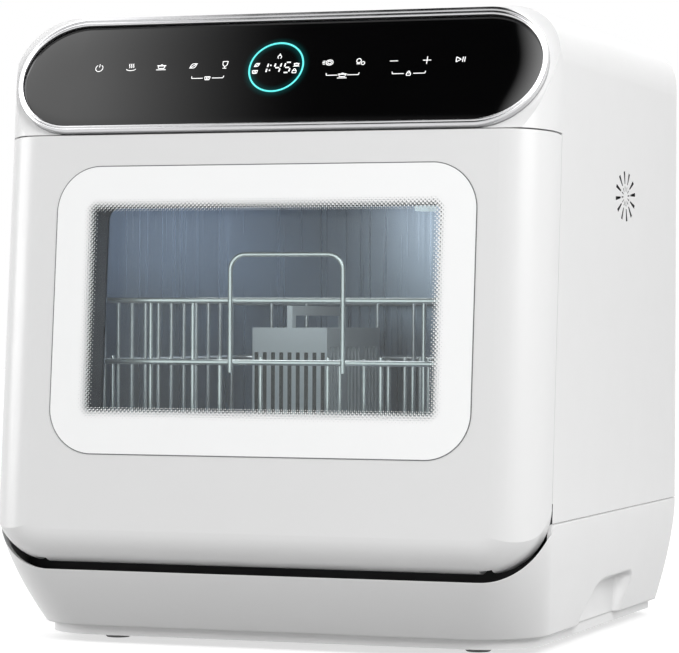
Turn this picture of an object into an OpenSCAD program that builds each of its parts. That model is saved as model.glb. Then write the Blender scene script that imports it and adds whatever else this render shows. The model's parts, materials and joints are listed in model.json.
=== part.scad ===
// Countertop dishwasher: a drop-down glazed door, a sliding wire rack, a tilted glass control
// panel, its own water tank and a side vent with a drying fan.
// Millimetres, +Z up, front towards -Y, right side towards +X. The origin is on the worktop,
// under the middle of the machine.

/* [Cabinet] */
// Width over the side walls
body_w = 400; // [390:1:420]
// Depth from the foremost point of the door to the tips of the rear spigots
body_d = 435; // [430:1:460]
// Height from the worktop to the top
body_h = 440; // [436:1:460]
// How far the rear spigots stand out behind the back wall
rear_reach = 24.5; // [20:0.5:30]
// Height of the side seam between the cabinet and the base
seam_z = 91; // [89:0.5:93]
// Thickness of the moulded cabinet and base walls
skin_t = 2.5; // [2:0.1:3]
// Rounding of the long top edges
top_edge_r = 40; // [30:1:46]
// Rounding of the top rear edge
top_rear_r = 26; // [15:1:30]
// Rounding of the upright rear corners
rear_corner_r = 24; // [15:1:26]
// Thickness of the rear cover
cover_t = 2.4; // [1.5:0.1:3]

/* [Base] */
// Height of the feet's visible part below the plinth
foot_h = 5.5; // [4:0.5:7]
// Height of the set-in plinth strip
plinth_h = 7; // [6:0.5:9]
// How far the plinth is set in from the base
plinth_in = 5; // [4:0.5:8]
// Radius of a foot
foot_r = 9; // [7:0.5:11]
// How far the base tapers in at each side
base_in_side = 15.5; // [12:0.5:18]
// How far the base tapers in at the front
base_in_front = 37.5; // [30:0.5:40]
// Depth of the side hand grips
grip_depth = 14; // [10:0.5:16]
// Height of the side hand grips
grip_h = 33; // [28:0.5:36]

/* [Door] */
// Backward lean of the door in degrees
door_lean = 4.9; // [4:0.1:6]
// Thickness of the door
door_t = 33; // [32:0.5:34]
// Gap between the door's top edge and the control panel
door_top_gap = 3.2; // [2.8:0.1:6]
// Height of the door's lowest point
door_low_z = 58; // [57:0.5:60]
// Radius of the rolled lower edge, around the hinge pin
foot_roll_r = 22; // [21:0.5:22.5]
// Rounding of the lower corners, seen from the front
door_corner_r = 45; // [40:1:50]
// Rounding of the upright front edges
front_edge_r = 34; // [26:1:36]
// Wall of the door moulding
door_wall = 3; // [2.5:0.1:3.5]
// Gap between the door and the base's lip
lip_gap = 5; // [4:0.5:6]
// Gap between the door and the cabinet's front edge
door_gap = 0.8; // [0.6:0.1:1.2]
// Radius of the hinge pins
hinge_pin_r = 4; // [3:0.25:5]
// How far the hinge brackets stand in from the side walls
bracket_in = 42; // [38:0.5:50]
// Thickness of a hinge bracket
bracket_t = 6; // [5:0.5:7]

/* [Door window] */
// Edge of the printed glass panel from the door's side
glass_side_in = 47.7; // [44:0.1:54]
// Lower edge of the printed glass panel above the hinge
glass_low = 51.8; // [50:0.5:54]
// Upper edge of the printed glass panel below the door's top edge
glass_top_in = 21.6; // [19:0.1:24]
// Corner rounding of the printed glass panel
glass_r = 32; // [24:1:36]
// Thickness of the printed glass panel
glass_t = 4; // [3.5:0.1:4.2]
// Edge of the clear window from the door's side
window_side_in = 78.4; // [76:0.1:85]
// Lower edge of the clear window above the hinge
window_low = 81.9; // [80:0.5:86]
// Upper edge of the clear window below the door's top edge
window_top_in = 51.5; // [50:0.5:57]
// Thickness of the inner pane
pane_t = 4; // [3:0.1:4.5]

/* [Control panel] */
// Backward tilt of the control panel in degrees
pod_tilt = 28.1; // [26:0.1:30]
// How far each end of the control panel stands in from the side wall
pod_side_in = 6.75; // [6:0.25:14]
// Height of the control panel along its slope
pod_l = 94; // [90:0.5:95]
// How far the panel's lower edge stands in front of the door's face
pod_proud = 2.7; // [1:0.1:4]
// Height of the panel's rim above the white moulding
pod_stand = 6; // [5:0.5:8]
// Width of the metal rim at the ends
rim_side = 3.6; // [3:0.1:5]
// Width of the metal rim along the lower edge
rim_low = 4.6; // [3:0.1:6]
// Width of the metal rim along the upper edge
rim_high = 6.6; // [4:0.1:8]
// Thickness of the control glass
touch_glass_t = 2.4; // [2:0.1:3]
// Middle radius of the lit ring around the display
ring_r = 19.5; // [16:0.5:22]
// Width of the lit ring
ring_w = 1.2; // [1:0.1:2.4]

/* [Tub] */
// Inside of the tub from the cabinet's side
tub_side_in = 35; // [34:0.5:40]
// Height of the tub's floor
tub_floor = 104; // [103.5:0.5:105]
// The tub's ceiling below the top of the cabinet
tub_top_in = 104; // [103.5:0.5:108]
// Inside of the tub's back wall from the back of the cabinet
tub_back_in = 43; // [42.5:0.5:45]
// Thickness of the tub's steel
tub_t = 1.2; // [0.8:0.1:1.4]
// Rounding of the tub's long edges
tub_r = 18; // [15:1:18]

/* [Rack] */
// Rack's front rails from the foremost point of the door
rack_front_in = 61.5; // [60:0.5:68]
// Rack's rear rails from the tub's back wall
rack_back_in = 12; // [10:0.5:20]
// Rack's side rails from the tub's side
rack_side_in = 17; // [16:0.5:21]
// Height of the rack's floor wires
rack_floor_z = 134; // [132:0.5:136]
// Height of the middle rail
rack_mid_z = 196.7; // [190:0.5:202]
// Height of the top rail
rack_top_z = 239.7; // [232:0.5:244]
// Height of the handle's top wire
handle_top_z = 271.6; // [262:0.5:276]
// Radius of the rails
rail_wire_r = 2; // [1.6:0.1:2.2]
// Radius of the upright and floor wires
wire_r = 1.5; // [1.2:0.1:1.7]
// Corner rounding of the rails
rack_corner_r = 18; // [12:1:24]
// Spacing of the plate tines
tine_pitch = 18; // [16:0.5:19]
// Height of the plate tines
tine_h = 62; // [45:1:70]

/* [Wash system] */
// Gap between the spray arm's tips and the tub's sides
arm_gap = 29; // [27:1:45]
// From the spray arm's pivot back to the middle of the filter
arm_to_filter = 72; // [68:0.5:74]
// Radius of the spray arm's post
post_r = 8; // [7:0.25:9]
// Radius of the filter cup
filter_r = 24; // [20:0.5:26]
// Middle of the filter from the tub's back wall
filter_in = 88; // [84:0.5:90]
// Radius of the wash pump's motor
motor_r = 28; // [24:0.5:30]

/* [Water and power connections] */
// Radius of the inlet spigot, a three-quarter inch thread
inlet_r = 13.2; // [12:0.1:14]
// Radius of the drain spigot
drain_r = 9; // [8:0.25:10]
// Bore radius of the drain spigot
drain_bore_r = 6.5; // [5.5:0.25:7]
// Bore radius of the cord gland
gland_bore_r = 3.7; // [3:0.1:4.5]
// Width of the fill lid
fill_w = 80; // [70:1:86]
// Length of the fill lid
fill_l = 64; // [58:1:66]

/* [Vent and fan] */
// Place of the side vent from front to back
vent_y = 13; // [5:1:20]
// Middle of the side vent below the top of the cabinet
vent_drop = 123.5; // [122:0.5:135]
// Outer radius of the vent's slots
vent_r = 18; // [15:0.5:19]
// Number of vent slots
vent_slots = 12; // [8:1:14]
// Width of the vent's pattern, as a multiple of its height
vent_stretch = 1.6; // [1:0.05:1.7]

/* [Hidden] */
$fn = 64;
hair = 0.02;
run_fit = 0.06;
seat_gap = 0.3;

half_w = body_w / 2;
front_y = -body_d / 2;
back_y = body_d / 2 - rear_reach;
inner_x = half_w - skin_t;
base_z = foot_h + plinth_h;
floor_z = base_z + skin_t;
top_in = body_h - skin_t;

tub_half_w = half_w - tub_side_in;
tub_top = body_h - tub_top_in;
tub_back = back_y - tub_back_in;
bracket_x = half_w - bracket_in;
glass_half_w = half_w - glass_side_in;
window_half_w = half_w - window_side_in;
pod_w = body_w - 2 * pod_side_in;
vent_z = body_h - vent_drop;
vent_half = vent_r * vent_stretch;
rack_front_y = front_y + rack_front_in;
rack_back_y = tub_back - rack_back_in;
rack_half_w = tub_half_w - rack_side_in;
rack_len = rack_back_y - rack_front_y;
filter_y = tub_back - filter_in;
arm_y = filter_y - arm_to_filter;
arm_reach = min(tub_half_w - arm_gap, arm_y - front_y - 2.4 * arm_gap);

hinge_y = front_y + foot_roll_r;
hinge_z = door_low_z + foot_roll_r;
door_back = door_t - foot_roll_r;
cab_front = door_back + door_gap;
tub_front = cab_front + skin_t;
flange_back = tub_front + tub_t;
bracket_r = hinge_pin_r * 2;
well_y = hinge_y + foot_roll_r + 3.5;
lip_z = door_low_z - lip_gap;
lip_r = door_corner_r + 1;
seal_out = 6;
seal_in = 1.5;

pod_z = body_h - pod_l * cos(pod_tilt);
pod_y = lean_y(-foot_roll_r, pod_z) - pod_proud;
nose_z = pod_z - door_top_gap + 0.8;
nose_rear_z = nose_z - (cab_front + foot_roll_r + pod_proud - pod_stand) * tan(door_lean);
pod_low = rim_low;
pod_high = pod_l - rim_high;
touch_front = 0.6;
touch_back = touch_front + touch_glass_t;
ring_z = pod_l * 0.52;
door_rise = (pod_z - door_top_gap - hinge_z - foot_roll_r * sin(door_lean)) / cos(door_lean);
glass_high = door_rise - glass_top_in;
window_high = door_rise - window_top_in;

// How far the base has tapered in at height z, from 0 at the seam to 1 at the bottom
function taper(z) = pow(max(0, (seam_z - z) / (seam_z - base_z)), 1.6);
function base_side(z) = half_w - base_in_side * taper(z);
function base_front(z) = front_y + base_in_front * taper(z);
function base_corner(z) = front_edge_r + 14 * (seam_z - min(z, seam_z)) / (seam_z - base_z);
// Global Y of the plane at depth `depth` in the door's own frame, at height z
function lean_y(depth, z) = hinge_y + depth / cos(door_lean) + (z - hinge_z) * tan(door_lean);
// Global Y of the plane at depth `depth` in the control panel's own frame, at height z
function slope_y(depth, z) = pod_y + depth / cos(pod_tilt) + (z - pod_z) * tan(pod_tilt);
// Height above the hinge, in the door's frame, of the global height z at depth `depth`
function door_up(depth, z) = (z - hinge_z + depth * sin(door_lean)) / cos(door_lean);

mouth_low = door_up(tub_front, tub_floor);
mouth_high = door_up(tub_front, tub_top);

opening_margin = 4;
ledge_back = -foot_roll_r + door_wall + 4;
liner_t = 1.2;
liner_front = door_back - liner_t;
pane_back = liner_front - 0.2;
pane_front = pane_back - pane_t;

rail_top = rack_floor_z - rail_wire_r - 4;
rail_half = 3.5;
arm_z = tub_floor + 9;
arm_t = 8;
sump_low = 62;
sump_half = half_w - 142;
feed_z = 74;
drain_y = 80;
hose_bore_r = 4;
pump_y = 20;
pump_z = 50;
volute_x = 105 - half_w;
drain_x = half_w - 100;
valve_x = 90 - half_w;
port_z = 52;
gland_x = half_w - 50;
fill_x = 110 - half_w;
fill_y = back_y - 63;
tank_front = tub_back + tub_t + 1.3;
tank_back = back_y - skin_t - 2;
tank_top = body_h - 45;
tank_half_w = half_w - 50;
tank_foot_w = drain_x - 22;
tank_wall = 2.5;
knuckle_r = 4.8;
knuckle_y = fill_y + fill_l / 2 - knuckle_r - seat_gap;
knuckle_z = body_h - knuckle_r;
fan_r = 19.5;
fan_in = tub_half_w + tub_t + 4;
cup_x = 20;
cup_w = 90;
cup_low = mouth_low + 5;
cup_h = 34;

// ---------------------------------------------------------------- helpers

// Rounded rectangle: lower corners r_low, upper corners r_high
module rounded_rect(x0, x1, y0, y1, r_low, r_high) {
    translate([x0, y0 + r_low]) square([x1 - x0, y1 - y0 - r_low - r_high]);
    translate([x0 + r_low, y0]) square([x1 - x0 - 2 * r_low, r_low]);
    translate([x0 + r_high, y1 - r_high]) square([x1 - x0 - 2 * r_high, r_high]);
    for (x = [x0 + r_low, x1 - r_low]) translate([x, y0 + r_low]) circle(r_low);
    for (x = [x0 + r_high, x1 - r_high]) translate([x, y1 - r_high]) circle(r_high);
}

// Stadium between two heights, with full round ends
module stadium(half, z0, z1) {
    r = (z1 - z0) / 2;
    translate([-(half - r), z0]) square([2 * (half - r), z1 - z0]);
    for (s = [-1, 1]) translate([s * (half - r), z0 + r]) circle(r);
}

// Extrudes an outline drawn in X and Z along Y
module along_y(y0, y1) {
    translate([0, y1, 0]) rotate([90, 0, 0]) linear_extrude(y1 - y0) children();
}

// Extrudes an outline drawn in Y and Z along X
module along_x(x0, x1) {
    translate([x0, 0, 0]) rotate([90, 0, 90]) linear_extrude(x1 - x0) children();
}

// A box given by its lowest and highest corners
module block(low, high) {
    translate(low) cube([high[0] - low[0], high[1] - low[1], high[2] - low[2]]);
}

// The door's frame: origin on the hinge axis, Z up along the leaning face, Y into the machine
module on_door() {
    translate([0, hinge_y, hinge_z]) rotate([-door_lean, 0, 0]) children();
}

// The control panel's frame: origin at the middle of its lower edge, Z up along the glass
module on_pod() {
    translate([0, pod_y, pod_z]) rotate([-pod_tilt, 0, 0]) children();
}

module both_sides() {
    children();
    mirror([1, 0, 0]) children();
}

// ---------------------------------------------------------------- cabinet

// Side view of the cabinet above the seam, drawn in Y and Z, with its walls moved in by `inset`
module cabinet_side(inset) {
    drop = inset > 0 ? 5 : 0;
    rear = back_y - inset;
    top = body_h - inset;
    r = top_rear_r - inset;
    difference() {
        polygon([
            [lean_y(cab_front + inset, seam_z - drop), seam_z - drop],
            [lean_y(cab_front + inset, nose_rear_z + inset), nose_rear_z + inset],
            [slope_y(pod_stand + inset, nose_z + inset), nose_z + inset],
            [slope_y(pod_stand + inset, top), top],
            [rear, top],
            [rear, seam_z - drop]]);
        difference() {
            translate([rear - r, top - r]) square(r + 1);
            translate([rear - r, top - r]) circle(r);
        }
    }
}

module cabinet_form(inset) {
    side = half_w - inset;
    mid = (front_y + back_y) / 2;
    intersection() {
        along_x(-side, side) cabinet_side(inset);
        along_y(front_y, back_y) rounded_rect(-side, side, 0, body_h - inset, 5, top_edge_r - inset);
        union() {
            on_door() translate([0, 0, -seam_z]) linear_extrude(body_h + seam_z)
                rounded_rect(-side, side, inset - foot_roll_r, body_d / 2, front_edge_r - inset, 1);
            linear_extrude(body_h + 1)
                rounded_rect(-side, side, mid, back_y - inset, 1, rear_corner_r - inset);
        }
    }
}

module seal_ring_2d(margin) {
    rounded_rect(-tub_half_w - margin, tub_half_w + margin, mouth_low - margin,
        mouth_high + margin, tub_r + margin, tub_r + margin);
}

module strike_slot(y0, y1) {
    on_door() block([-14, y0, mouth_high + seal_out + 1.2], [14, y1, mouth_high + seal_out + 6.6]);
}

// One tapered slot of the sunburst, at a turn round its middle, stretched along Y
module vent_slot(turn, r0, r1, w0, w1) {
    along_x(inner_x - 1, half_w + 1)
        polygon([for (c = [[r0, -w0], [r1, -w1], [r1, w1], [r0, w0]])
            [vent_y + vent_stretch * (c[0] * sin(turn) + c[1] * cos(turn)),
                vent_z + c[0] * cos(turn) - c[1] * sin(turn)]]);
}

module vent_slots_cut() {
    for (i = [0 : vent_slots - 1]) {
        vent_slot(360 / vent_slots * (i + 0.75), vent_r * 0.5, vent_r, 0.65, 1.4);
        vent_slot(360 / vent_slots * (i + 0.75), vent_r * 0.2, vent_r * 0.4, 0.3, 0.55);
    }
}

// A fine shadow line round the cabinet's lower edge, where it meets the base
module seam_groove() {
    deep = 1.2;
    translate([0, 0, seam_z - 1]) linear_extrude(1.8) difference() {
        translate([-half_w - 5, lean_y(cab_front, seam_z)]) square([body_w + 10, body_d]);
        rounded_rect(deep - half_w, half_w - deep, front_y - 5, back_y - deep, 1, rear_corner_r - deep);
    }
    on_door() both_sides() block([half_w - deep, cab_front - 1, 0], [half_w + 1, cab_front + 0.9, 26]);
}

module outer_cabinet() {
    cover_in = rear_corner_r + 8;
    color("whitesmoke") difference() {
        cabinet_form(0);
        cabinet_form(skin_t);
        on_door() along_y(cab_front - 1, tub_front + 1) seal_ring_2d(seal_out + 0.3);
        strike_slot(cab_front - 1, tub_front + 1);
        on_pod() along_y(pod_stand - 1, pod_stand + skin_t + 8) tray_2d(0);
        block([-half_w + cover_in, back_y - skin_t - 1, seam_z + 8],
            [half_w - cover_in, back_y + 1, body_h - top_rear_r - 14]);
        translate([fill_x, fill_y, top_in - 1]) linear_extrude(skin_t + 2)
            rounded_rect(-fill_w / 2, fill_w / 2, -fill_l / 2, fill_l / 2, 4, 1);
        vent_slots_cut();
        seam_groove();
    }
}

// Pressed ribs and a rounded outline; the screws go through its corners
module rear_cover() {
    edge = rear_corner_r + 2;
    low = seam_z + 3;
    high = body_h - top_rear_r - 8;
    color("gainsboro") difference() {
        union() {
            along_y(back_y, back_y + cover_t)
                rounded_rect(-half_w + edge, half_w - edge, low, high, 8, 8);
            for (z = [low + 60 : 40 : high - 60])
                along_y(back_y + cover_t - 0.5, back_y + cover_t + 1.5)
                    rounded_rect(-half_w + edge + 40, half_w - edge - 40, z - 4, z + 4, 3.9, 3.9);
        }
        for (p = screw_places()) translate([p[0], back_y - 1, p[1]]) rotate([-90, 0, 0])
            cylinder(r = 2.1, h = cover_t + 2);
    }
}

function screw_places() = [for (x = [-1, 0, 1]) for (z = [seam_z + 6, body_h - top_rear_r - 11])
    [x * (half_w - rear_corner_r - 9), z]];

module cabinet_screws() {
    color("silver") for (p = screw_places()) translate([p[0], back_y, p[1]]) rotate([-90, 0, 0]) {
        cylinder(r = 2, h = cover_t);
        translate([0, 0, cover_t]) cylinder(r1 = 4, r2 = 3, h = 1.6);
    }
}

// ---------------------------------------------------------------- base

// Plan outline of the base at height z, its walls moved in by `inset`
module base_plan(z, inset) {
    side = base_side(z) - inset;
    rounded_rect(-side, side, base_front(z) + inset, back_y - inset,
        base_corner(z) - inset, rear_corner_r - inset, $fn = 48);
}

module base_form(inset) {
    low = base_z + inset;
    high = seam_z - 0.01 + (inset > 0 ? 2 : 0);
    hull() for (k = [0 : 5]) translate([0, 0, low + (high - low) * k / 5])
        linear_extrude(0.01) base_plan(low + (high - low) * k / 5, inset);
}

// Side view of a hand grip: a scoop that is open at the bottom
module grip_outline(grow) {
    top = base_z + grip_h + grow;
    polygon([[-68 - grow, base_z - 5], [-64 - grow, base_z + grip_h * 0.15],
        [-38 - grow, top - 4], [-16, top], [56, top], [70 + grow, top - 6],
        [63 + grow, base_z - 5]]);
}

module base_housing() {
    grip_x = base_side(base_z + grip_h) - grip_depth;
    color("gainsboro") difference() {
        union() {
            difference() {
                base_form(0);
                base_form(skin_t);
            }
            intersection() {
                base_form(0.5);
                both_sides() along_x(grip_x - skin_t, half_w) grip_outline(skin_t);
            }
        }
        both_sides() along_x(grip_x, half_w + 5) grip_outline(0);
        along_y(front_y - 20, lean_y(cab_front, seam_z))
            rounded_rect(-half_w - 2, half_w + 2, lip_z, body_h, lip_r, 1);
        rear_hole(valve_x, inlet_r + shoulder + 0.2);
        rear_hole(drain_x, drain_r + shoulder + 0.2);
        rear_hole(gland_x, gland_bore_r + 2.6);
    }
}

shoulder = 0.8;
collar_t = 3;

module rear_hole(x, r) {
    translate([x, back_y - skin_t - 2, port_z]) rotate([-90, 0, 0]) cylinder(r = r, h = skin_t + 4);
}

module plinth_outline(inset) {
    side = half_w - base_in_side - plinth_in - inset;
    rounded_rect(-side, side, front_y + base_in_front + plinth_in + inset,
        back_y - plinth_in - inset, front_edge_r + 10 - inset, rear_corner_r - plinth_in - inset);
}

module plinth_tray() {
    deck = 3;
    color("gainsboro") difference() {
        translate([0, 0, foot_h]) linear_extrude(plinth_h) plinth_outline(0);
        translate([0, 0, foot_h - 1]) linear_extrude(plinth_h - deck + 1) plinth_outline(4);
    }
}

module feet() {
    deck = 3;
    color("dimgray") for (x = [-1, 1]) for (p = [[half_w - 66, front_y + 86], [half_w - 50, back_y - 33]])
        translate([x * p[0], p[1], 0]) {
            cylinder(r1 = foot_r - 1, r2 = foot_r, h = 1);
            translate([0, 0, 1]) cylinder(r = foot_r, h = base_z - deck - 1);
        }
}

// Black sheet behind the gap under the door: a shelf, and an upright that carries the hinges
module well_guard() {
    sheet = 2;
    shelf_z = lip_z - 10;
    side = base_side(shelf_z) - skin_t - 5;
    color([0.08, 0.08, 0.09]) {
        translate([0, 0, shelf_z]) linear_extrude(sheet) intersection() {
            base_plan(shelf_z, skin_t + seat_gap);
            translate([-half_w, front_y]) square([body_w, well_y + sheet - front_y]);
        }
        along_x(-side, side)
            translate([well_y, shelf_z]) square([sheet, tub_floor - tub_t - shelf_z]);
    }
}

// ---------------------------------------------------------------- hinges and door

module hinge_brackets() {
    color("silver") both_sides() translate([0, hinge_y, hinge_z]) along_x(bracket_x, bracket_x + bracket_t)
        difference() {
            union() {
                circle(bracket_r);
                translate([0, -bracket_r]) square([well_y - hinge_y, 2 * bracket_r]);
            }
            circle(hinge_pin_r + run_fit);
        }
}

module hinge_pins() {
    color("silver") both_sides() translate([0, hinge_y, hinge_z])
        along_x(bracket_x - 10, bracket_x + bracket_t + 10) circle(hinge_pin_r);
}

// Two cheeks at each side hold the pin and are riveted to the liner
module hinge_arms() {
    cheek = 5;
    slot = 2;
    color("darkgray") both_sides() on_door()
        for (x = [bracket_x - slot - cheek, bracket_x + bracket_t + slot]) along_x(x, x + cheek)
            difference() {
                union() {
                    circle(bracket_r);
                    translate([0, 0]) square([liner_front, 70]);
                }
                circle(hinge_pin_r + hair);
            }
}

module door_front_2d(inset) {
    rounded_rect(-half_w + inset, half_w - inset, inset - foot_roll_r, door_rise - inset,
        door_corner_r - inset, 1.5);
}

// The door's outer form: front outline, rolled lower edge and rounded upright edges together
module door_form(inset) {
    rear = door_back + (inset > 0 ? 1 : 0);
    roll = foot_roll_r - inset;
    edge = front_edge_r - inset;
    on_door() difference() {
        along_y(-roll, rear) door_front_2d(inset);
        along_x(-half_w - 1, half_w + 1) difference() {
            translate([-roll - 1, -roll - 1]) square([roll + rear + 2, roll + 1]);
            circle(roll);
        }
        both_sides() translate([half_w - front_edge_r, edge - roll, -foot_roll_r - 1])
            linear_extrude(door_rise + foot_roll_r + 2) difference() {
                translate([0, -edge - 1]) square(edge + 1);
                circle(edge);
            }
        both_sides() corner_cut(roll);
    }
}

// What lies outside the rounded edge where it turns a lower corner: a block less a turned form
module corner_cut(roll) {
    turn = door_corner_r - foot_roll_r;
    translate([half_w - door_corner_r, 0, turn]) difference() {
        block([0, -roll - 1, -turn - roll - 1], [turn + roll + 1, 0, 0]);
        rotate([90, 0, 0]) rotate_extrude() difference() {
            union() {
                translate([turn, 0]) circle(roll);
                translate([0, -roll]) square([turn, 2 * roll]);
            }
            translate([-2 * foot_roll_r, -roll - 1]) square([2 * foot_roll_r, 2 * roll + 2]);
        }
    }
}

glass_gap = 0.15;

module glass_2d(grow) {
    rounded_rect(-glass_half_w - grow, glass_half_w + grow, glass_low - grow, glass_high + grow,
        glass_r + grow, glass_r + grow);
}

module window_2d(grow) {
    rounded_rect(-window_half_w - grow, window_half_w + grow, window_low - grow,
        window_high + grow, 4 + grow, 4 + grow);
}

module bracket_slots() {
    slack = 1.5;
    both_sides() block([bracket_x - slack, -bracket_r - 1, -foot_roll_r - 5],
        [bracket_x + bracket_t + slack, door_back + 5, bracket_r + 1.6]);
}

module door_outer() {
    glass_seat = -foot_roll_r + glass_t - 0.2;
    color("white") difference() {
        union() {
            difference() {
                door_form(0);
                door_form(door_wall);
            }
            on_door() along_y(-foot_roll_r + door_wall - 0.5, ledge_back) glass_2d(6);
        }
        on_door() along_y(-foot_roll_r - 1, glass_seat) glass_2d(glass_gap);
        on_door() along_y(-foot_roll_r - 1, ledge_back + 1) window_2d(opening_margin);
        on_door() bracket_slots();
    }
}

module door_glass() {
    color([0.94, 0.95, 0.96, 0.5]) on_door()
        along_y(-foot_roll_r - 0.3, -foot_roll_r + glass_t - 0.3) glass_2d(0);
}

// Light tube that closes the door's hollow around the window
module window_spacer() {
    color("lightgray") on_door() along_y(ledge_back, pane_front) difference() {
        window_2d(opening_margin + 2);
        window_2d(opening_margin);
    }
}

module inner_pane() {
    color([0.8, 0.86, 0.88, 0.4]) on_door() along_y(pane_front, pane_back) window_2d(12);
}

module window_gasket() {
    color("dimgray") on_door() along_y(pane_front - 1, liner_front) difference() {
        window_2d(16);
        window_2d(12.1);
    }
}

module liner_2d() {
    intersection() {
        door_front_2d(door_wall + 0.2);
        translate([-half_w, -14]) square([body_w, door_rise]);
    }
}

module door_liner() {
    color("silver") on_door() difference() {
        union() {
            along_y(liner_front, door_back) liner_2d();
            along_y(pane_back, liner_front) difference() {
                window_2d(11);
                window_2d(5);
            }
        }
        along_y(liner_front - 2, door_back + 1) window_2d(5);
        bracket_slots();
        block([cup_x - hair, liner_front - 1, cup_low - hair],
            [cup_x + cup_w + hair, door_back + 1, cup_low + cup_h + hair]);
    }
}

module door_strike() {
    low = mouth_high + seal_out + 2.5;
    color("silver") on_door() difference() {
        block([-11, door_back, low], [11, door_back + 15, low + 2.6]);
        block([-7, door_back + 6, low - 1], [7, door_back + 11, low + 4]);
    }
}

// Two cells; lipped guides above and below hold the sliding lid
module detergent_cup() {
    wall = 3;
    face = door_back + 3;
    guide = face + 2 + 2 * seat_gap;
    color("whitesmoke") on_door() difference() {
        union() {
            block([cup_x, -6, cup_low], [cup_x + cup_w, face, cup_low + cup_h]);
            for (up = [0, 1]) translate([0, 0, cup_low + up * cup_h]) mirror([0, 0, up]) {
                block([cup_x, face - 1, 0], [cup_x + cup_w, guide + 1.2, 1 - seat_gap]);
                block([cup_x, guide, 0], [cup_x + cup_w, guide + 1.2, 3]);
            }
        }
        block([cup_x + wall, -3, cup_low + wall], [cup_x + 58, face + 1, cup_low + cup_h - wall]);
        block([cup_x + 62, -3, cup_low + wall], [cup_x + cup_w - wall, face + 1, cup_low + cup_h - wall]);
    }
}

module detergent_lid() {
    front = door_back + 3 + seat_gap;
    color("lightsteelblue") on_door() {
        block([cup_x + 1, front, cup_low + 1], [cup_x + 60, front + 2, cup_low + cup_h - 1]);
        block([cup_x + 50, front + 1, cup_low + 8], [cup_x + 54, front + 4, cup_low + cup_h - 8]);
    }
}

// ---------------------------------------------------------------- control panel

module control_trim() {
    color("silver") on_pod() along_y(0, pod_stand) difference() {
        stadium(pod_w / 2, 0, pod_l);
        stadium(pod_w / 2 - rim_side, pod_low, pod_high);
    }
}

module control_glass() {
    color([0.03, 0.03, 0.035]) on_pod() difference() {
        along_y(touch_front, touch_back) stadium(pod_w / 2 - rim_side - 0.1, pod_low + 0.1, pod_high - 0.1);
        along_y(touch_front - 1, touch_front + 1) translate([0, ring_z]) ring_2d(hair);
    }
}

module ring_2d(grow) {
    difference() {
        circle(ring_r + ring_w / 2 + grow);
        circle(ring_r - ring_w / 2 - grow);
    }
}

module display_ring() {
    color([0.2, 0.85, 0.85]) on_pod() along_y(touch_front - 0.2, touch_front + 1)
        translate([0, ring_z]) ring_2d(0);
}

// Outline of the tray's rear part, moved in by `inset`
module tray_2d(inset) {
    edge = 12 + inset;
    stadium(pod_w / 2 - edge, edge + 3, pod_l - edge + 3);
}

// Tray behind the glass, which reaches through the white moulding
module control_housing() {
    depth = pod_stand + skin_t + 12;
    color([0.12, 0.12, 0.13]) on_pod() difference() {
        union() {
            along_y(touch_back, pod_stand) stadium(pod_w / 2 - rim_side - 0.1, pod_low + 0.1, pod_high - 0.1);
            along_y(pod_stand, depth) tray_2d(seat_gap);
        }
        along_y(touch_back + 1.5, depth + 1) tray_2d(3);
        along_y(touch_back - 1, touch_back + 2) rounded_rect(-20, 20, ring_z - 13, ring_z + 13, 2, 2);
    }
}

module display_module() {
    color("dimgray") on_pod() along_y(touch_back, pod_stand + 5.5)
        rounded_rect(-19.8, 19.8, ring_z - 12.8, ring_z + 12.8, 2, 2);
}

module touch_board() {
    board_y = pod_stand + 5.5;
    board_w = pod_w / 2 - 43;
    color("darkgreen") on_pod() {
        along_y(board_y, board_y + 1.6) rounded_rect(-board_w, board_w, ring_z - 22, ring_z + 22, 2, 2);
        for (x = [10 - board_w, 0, board_w - 10]) for (z = [ring_z - 18, ring_z + 18])
            translate([x, touch_back + 1.5, z]) rotate([-90, 0, 0])
                cylinder(r = 2, h = board_y - touch_back - 1.5);
    }
}

module power_board() {
    low = tub_top + tub_t;
    left = tub_half_w - 145;
    color("darkgreen") translate([left, -60, low]) {
        block([0, 0, 8], [110, 100, 9.6]);
        for (x = [6, 104]) for (y = [6, 94]) translate([x, y, 0]) cylinder(r = 3, h = 8);
        block([20, 20, 9.6], [50, 50, 38]);
        block([65, 30, 9.6], [85, 80, 26]);
        translate([40, 75, 9.6]) cylinder(r = 9, h = 24);
    }
}

// ---------------------------------------------------------------- tub

module tub_prism(wall) {
    intersection() {
        along_y(front_y, tub_back + wall) rounded_rect(-tub_half_w - wall, tub_half_w + wall,
            tub_floor - wall, tub_top + wall, tub_r + wall, tub_r + wall);
        on_door() block([-body_w, wall > 0 ? tub_front : cab_front, -body_h],
            [body_w, body_d + 100, body_h]);
    }
}

module tub() {
    color("lightsteelblue") difference() {
        union() {
            tub_prism(tub_t);
            on_door() along_y(tub_front, flange_back)
                rounded_rect(-half_w + 16, half_w - 16, mouth_low - 11, mouth_high + 14, 8, 8);
        }
        tub_prism(0);
        translate([0, filter_y, tub_floor - 5]) cylinder(r = filter_r + 16, h = 10);
        translate([0, arm_y, tub_floor - 5]) cylinder(r = post_r - 2, h = 10);
        strike_slot(tub_front - 1, flange_back + 1);
    }
}

module door_seal() {
    color("gray") on_door() along_y(door_back + seat_gap, tub_front) difference() {
        seal_ring_2d(seal_out);
        seal_ring_2d(seal_in);
    }
}

// Runners on the side walls, with rounded noses
module rack_rails() {
    color("whitesmoke") both_sides()
        along_y(lean_y(tub_front, rail_top) + 4, tub_back)
            rounded_rect(tub_half_w - 2 * rail_half - 1, tub_half_w, rail_top - 5, rail_top, 0.8, 0.8);
}

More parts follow.
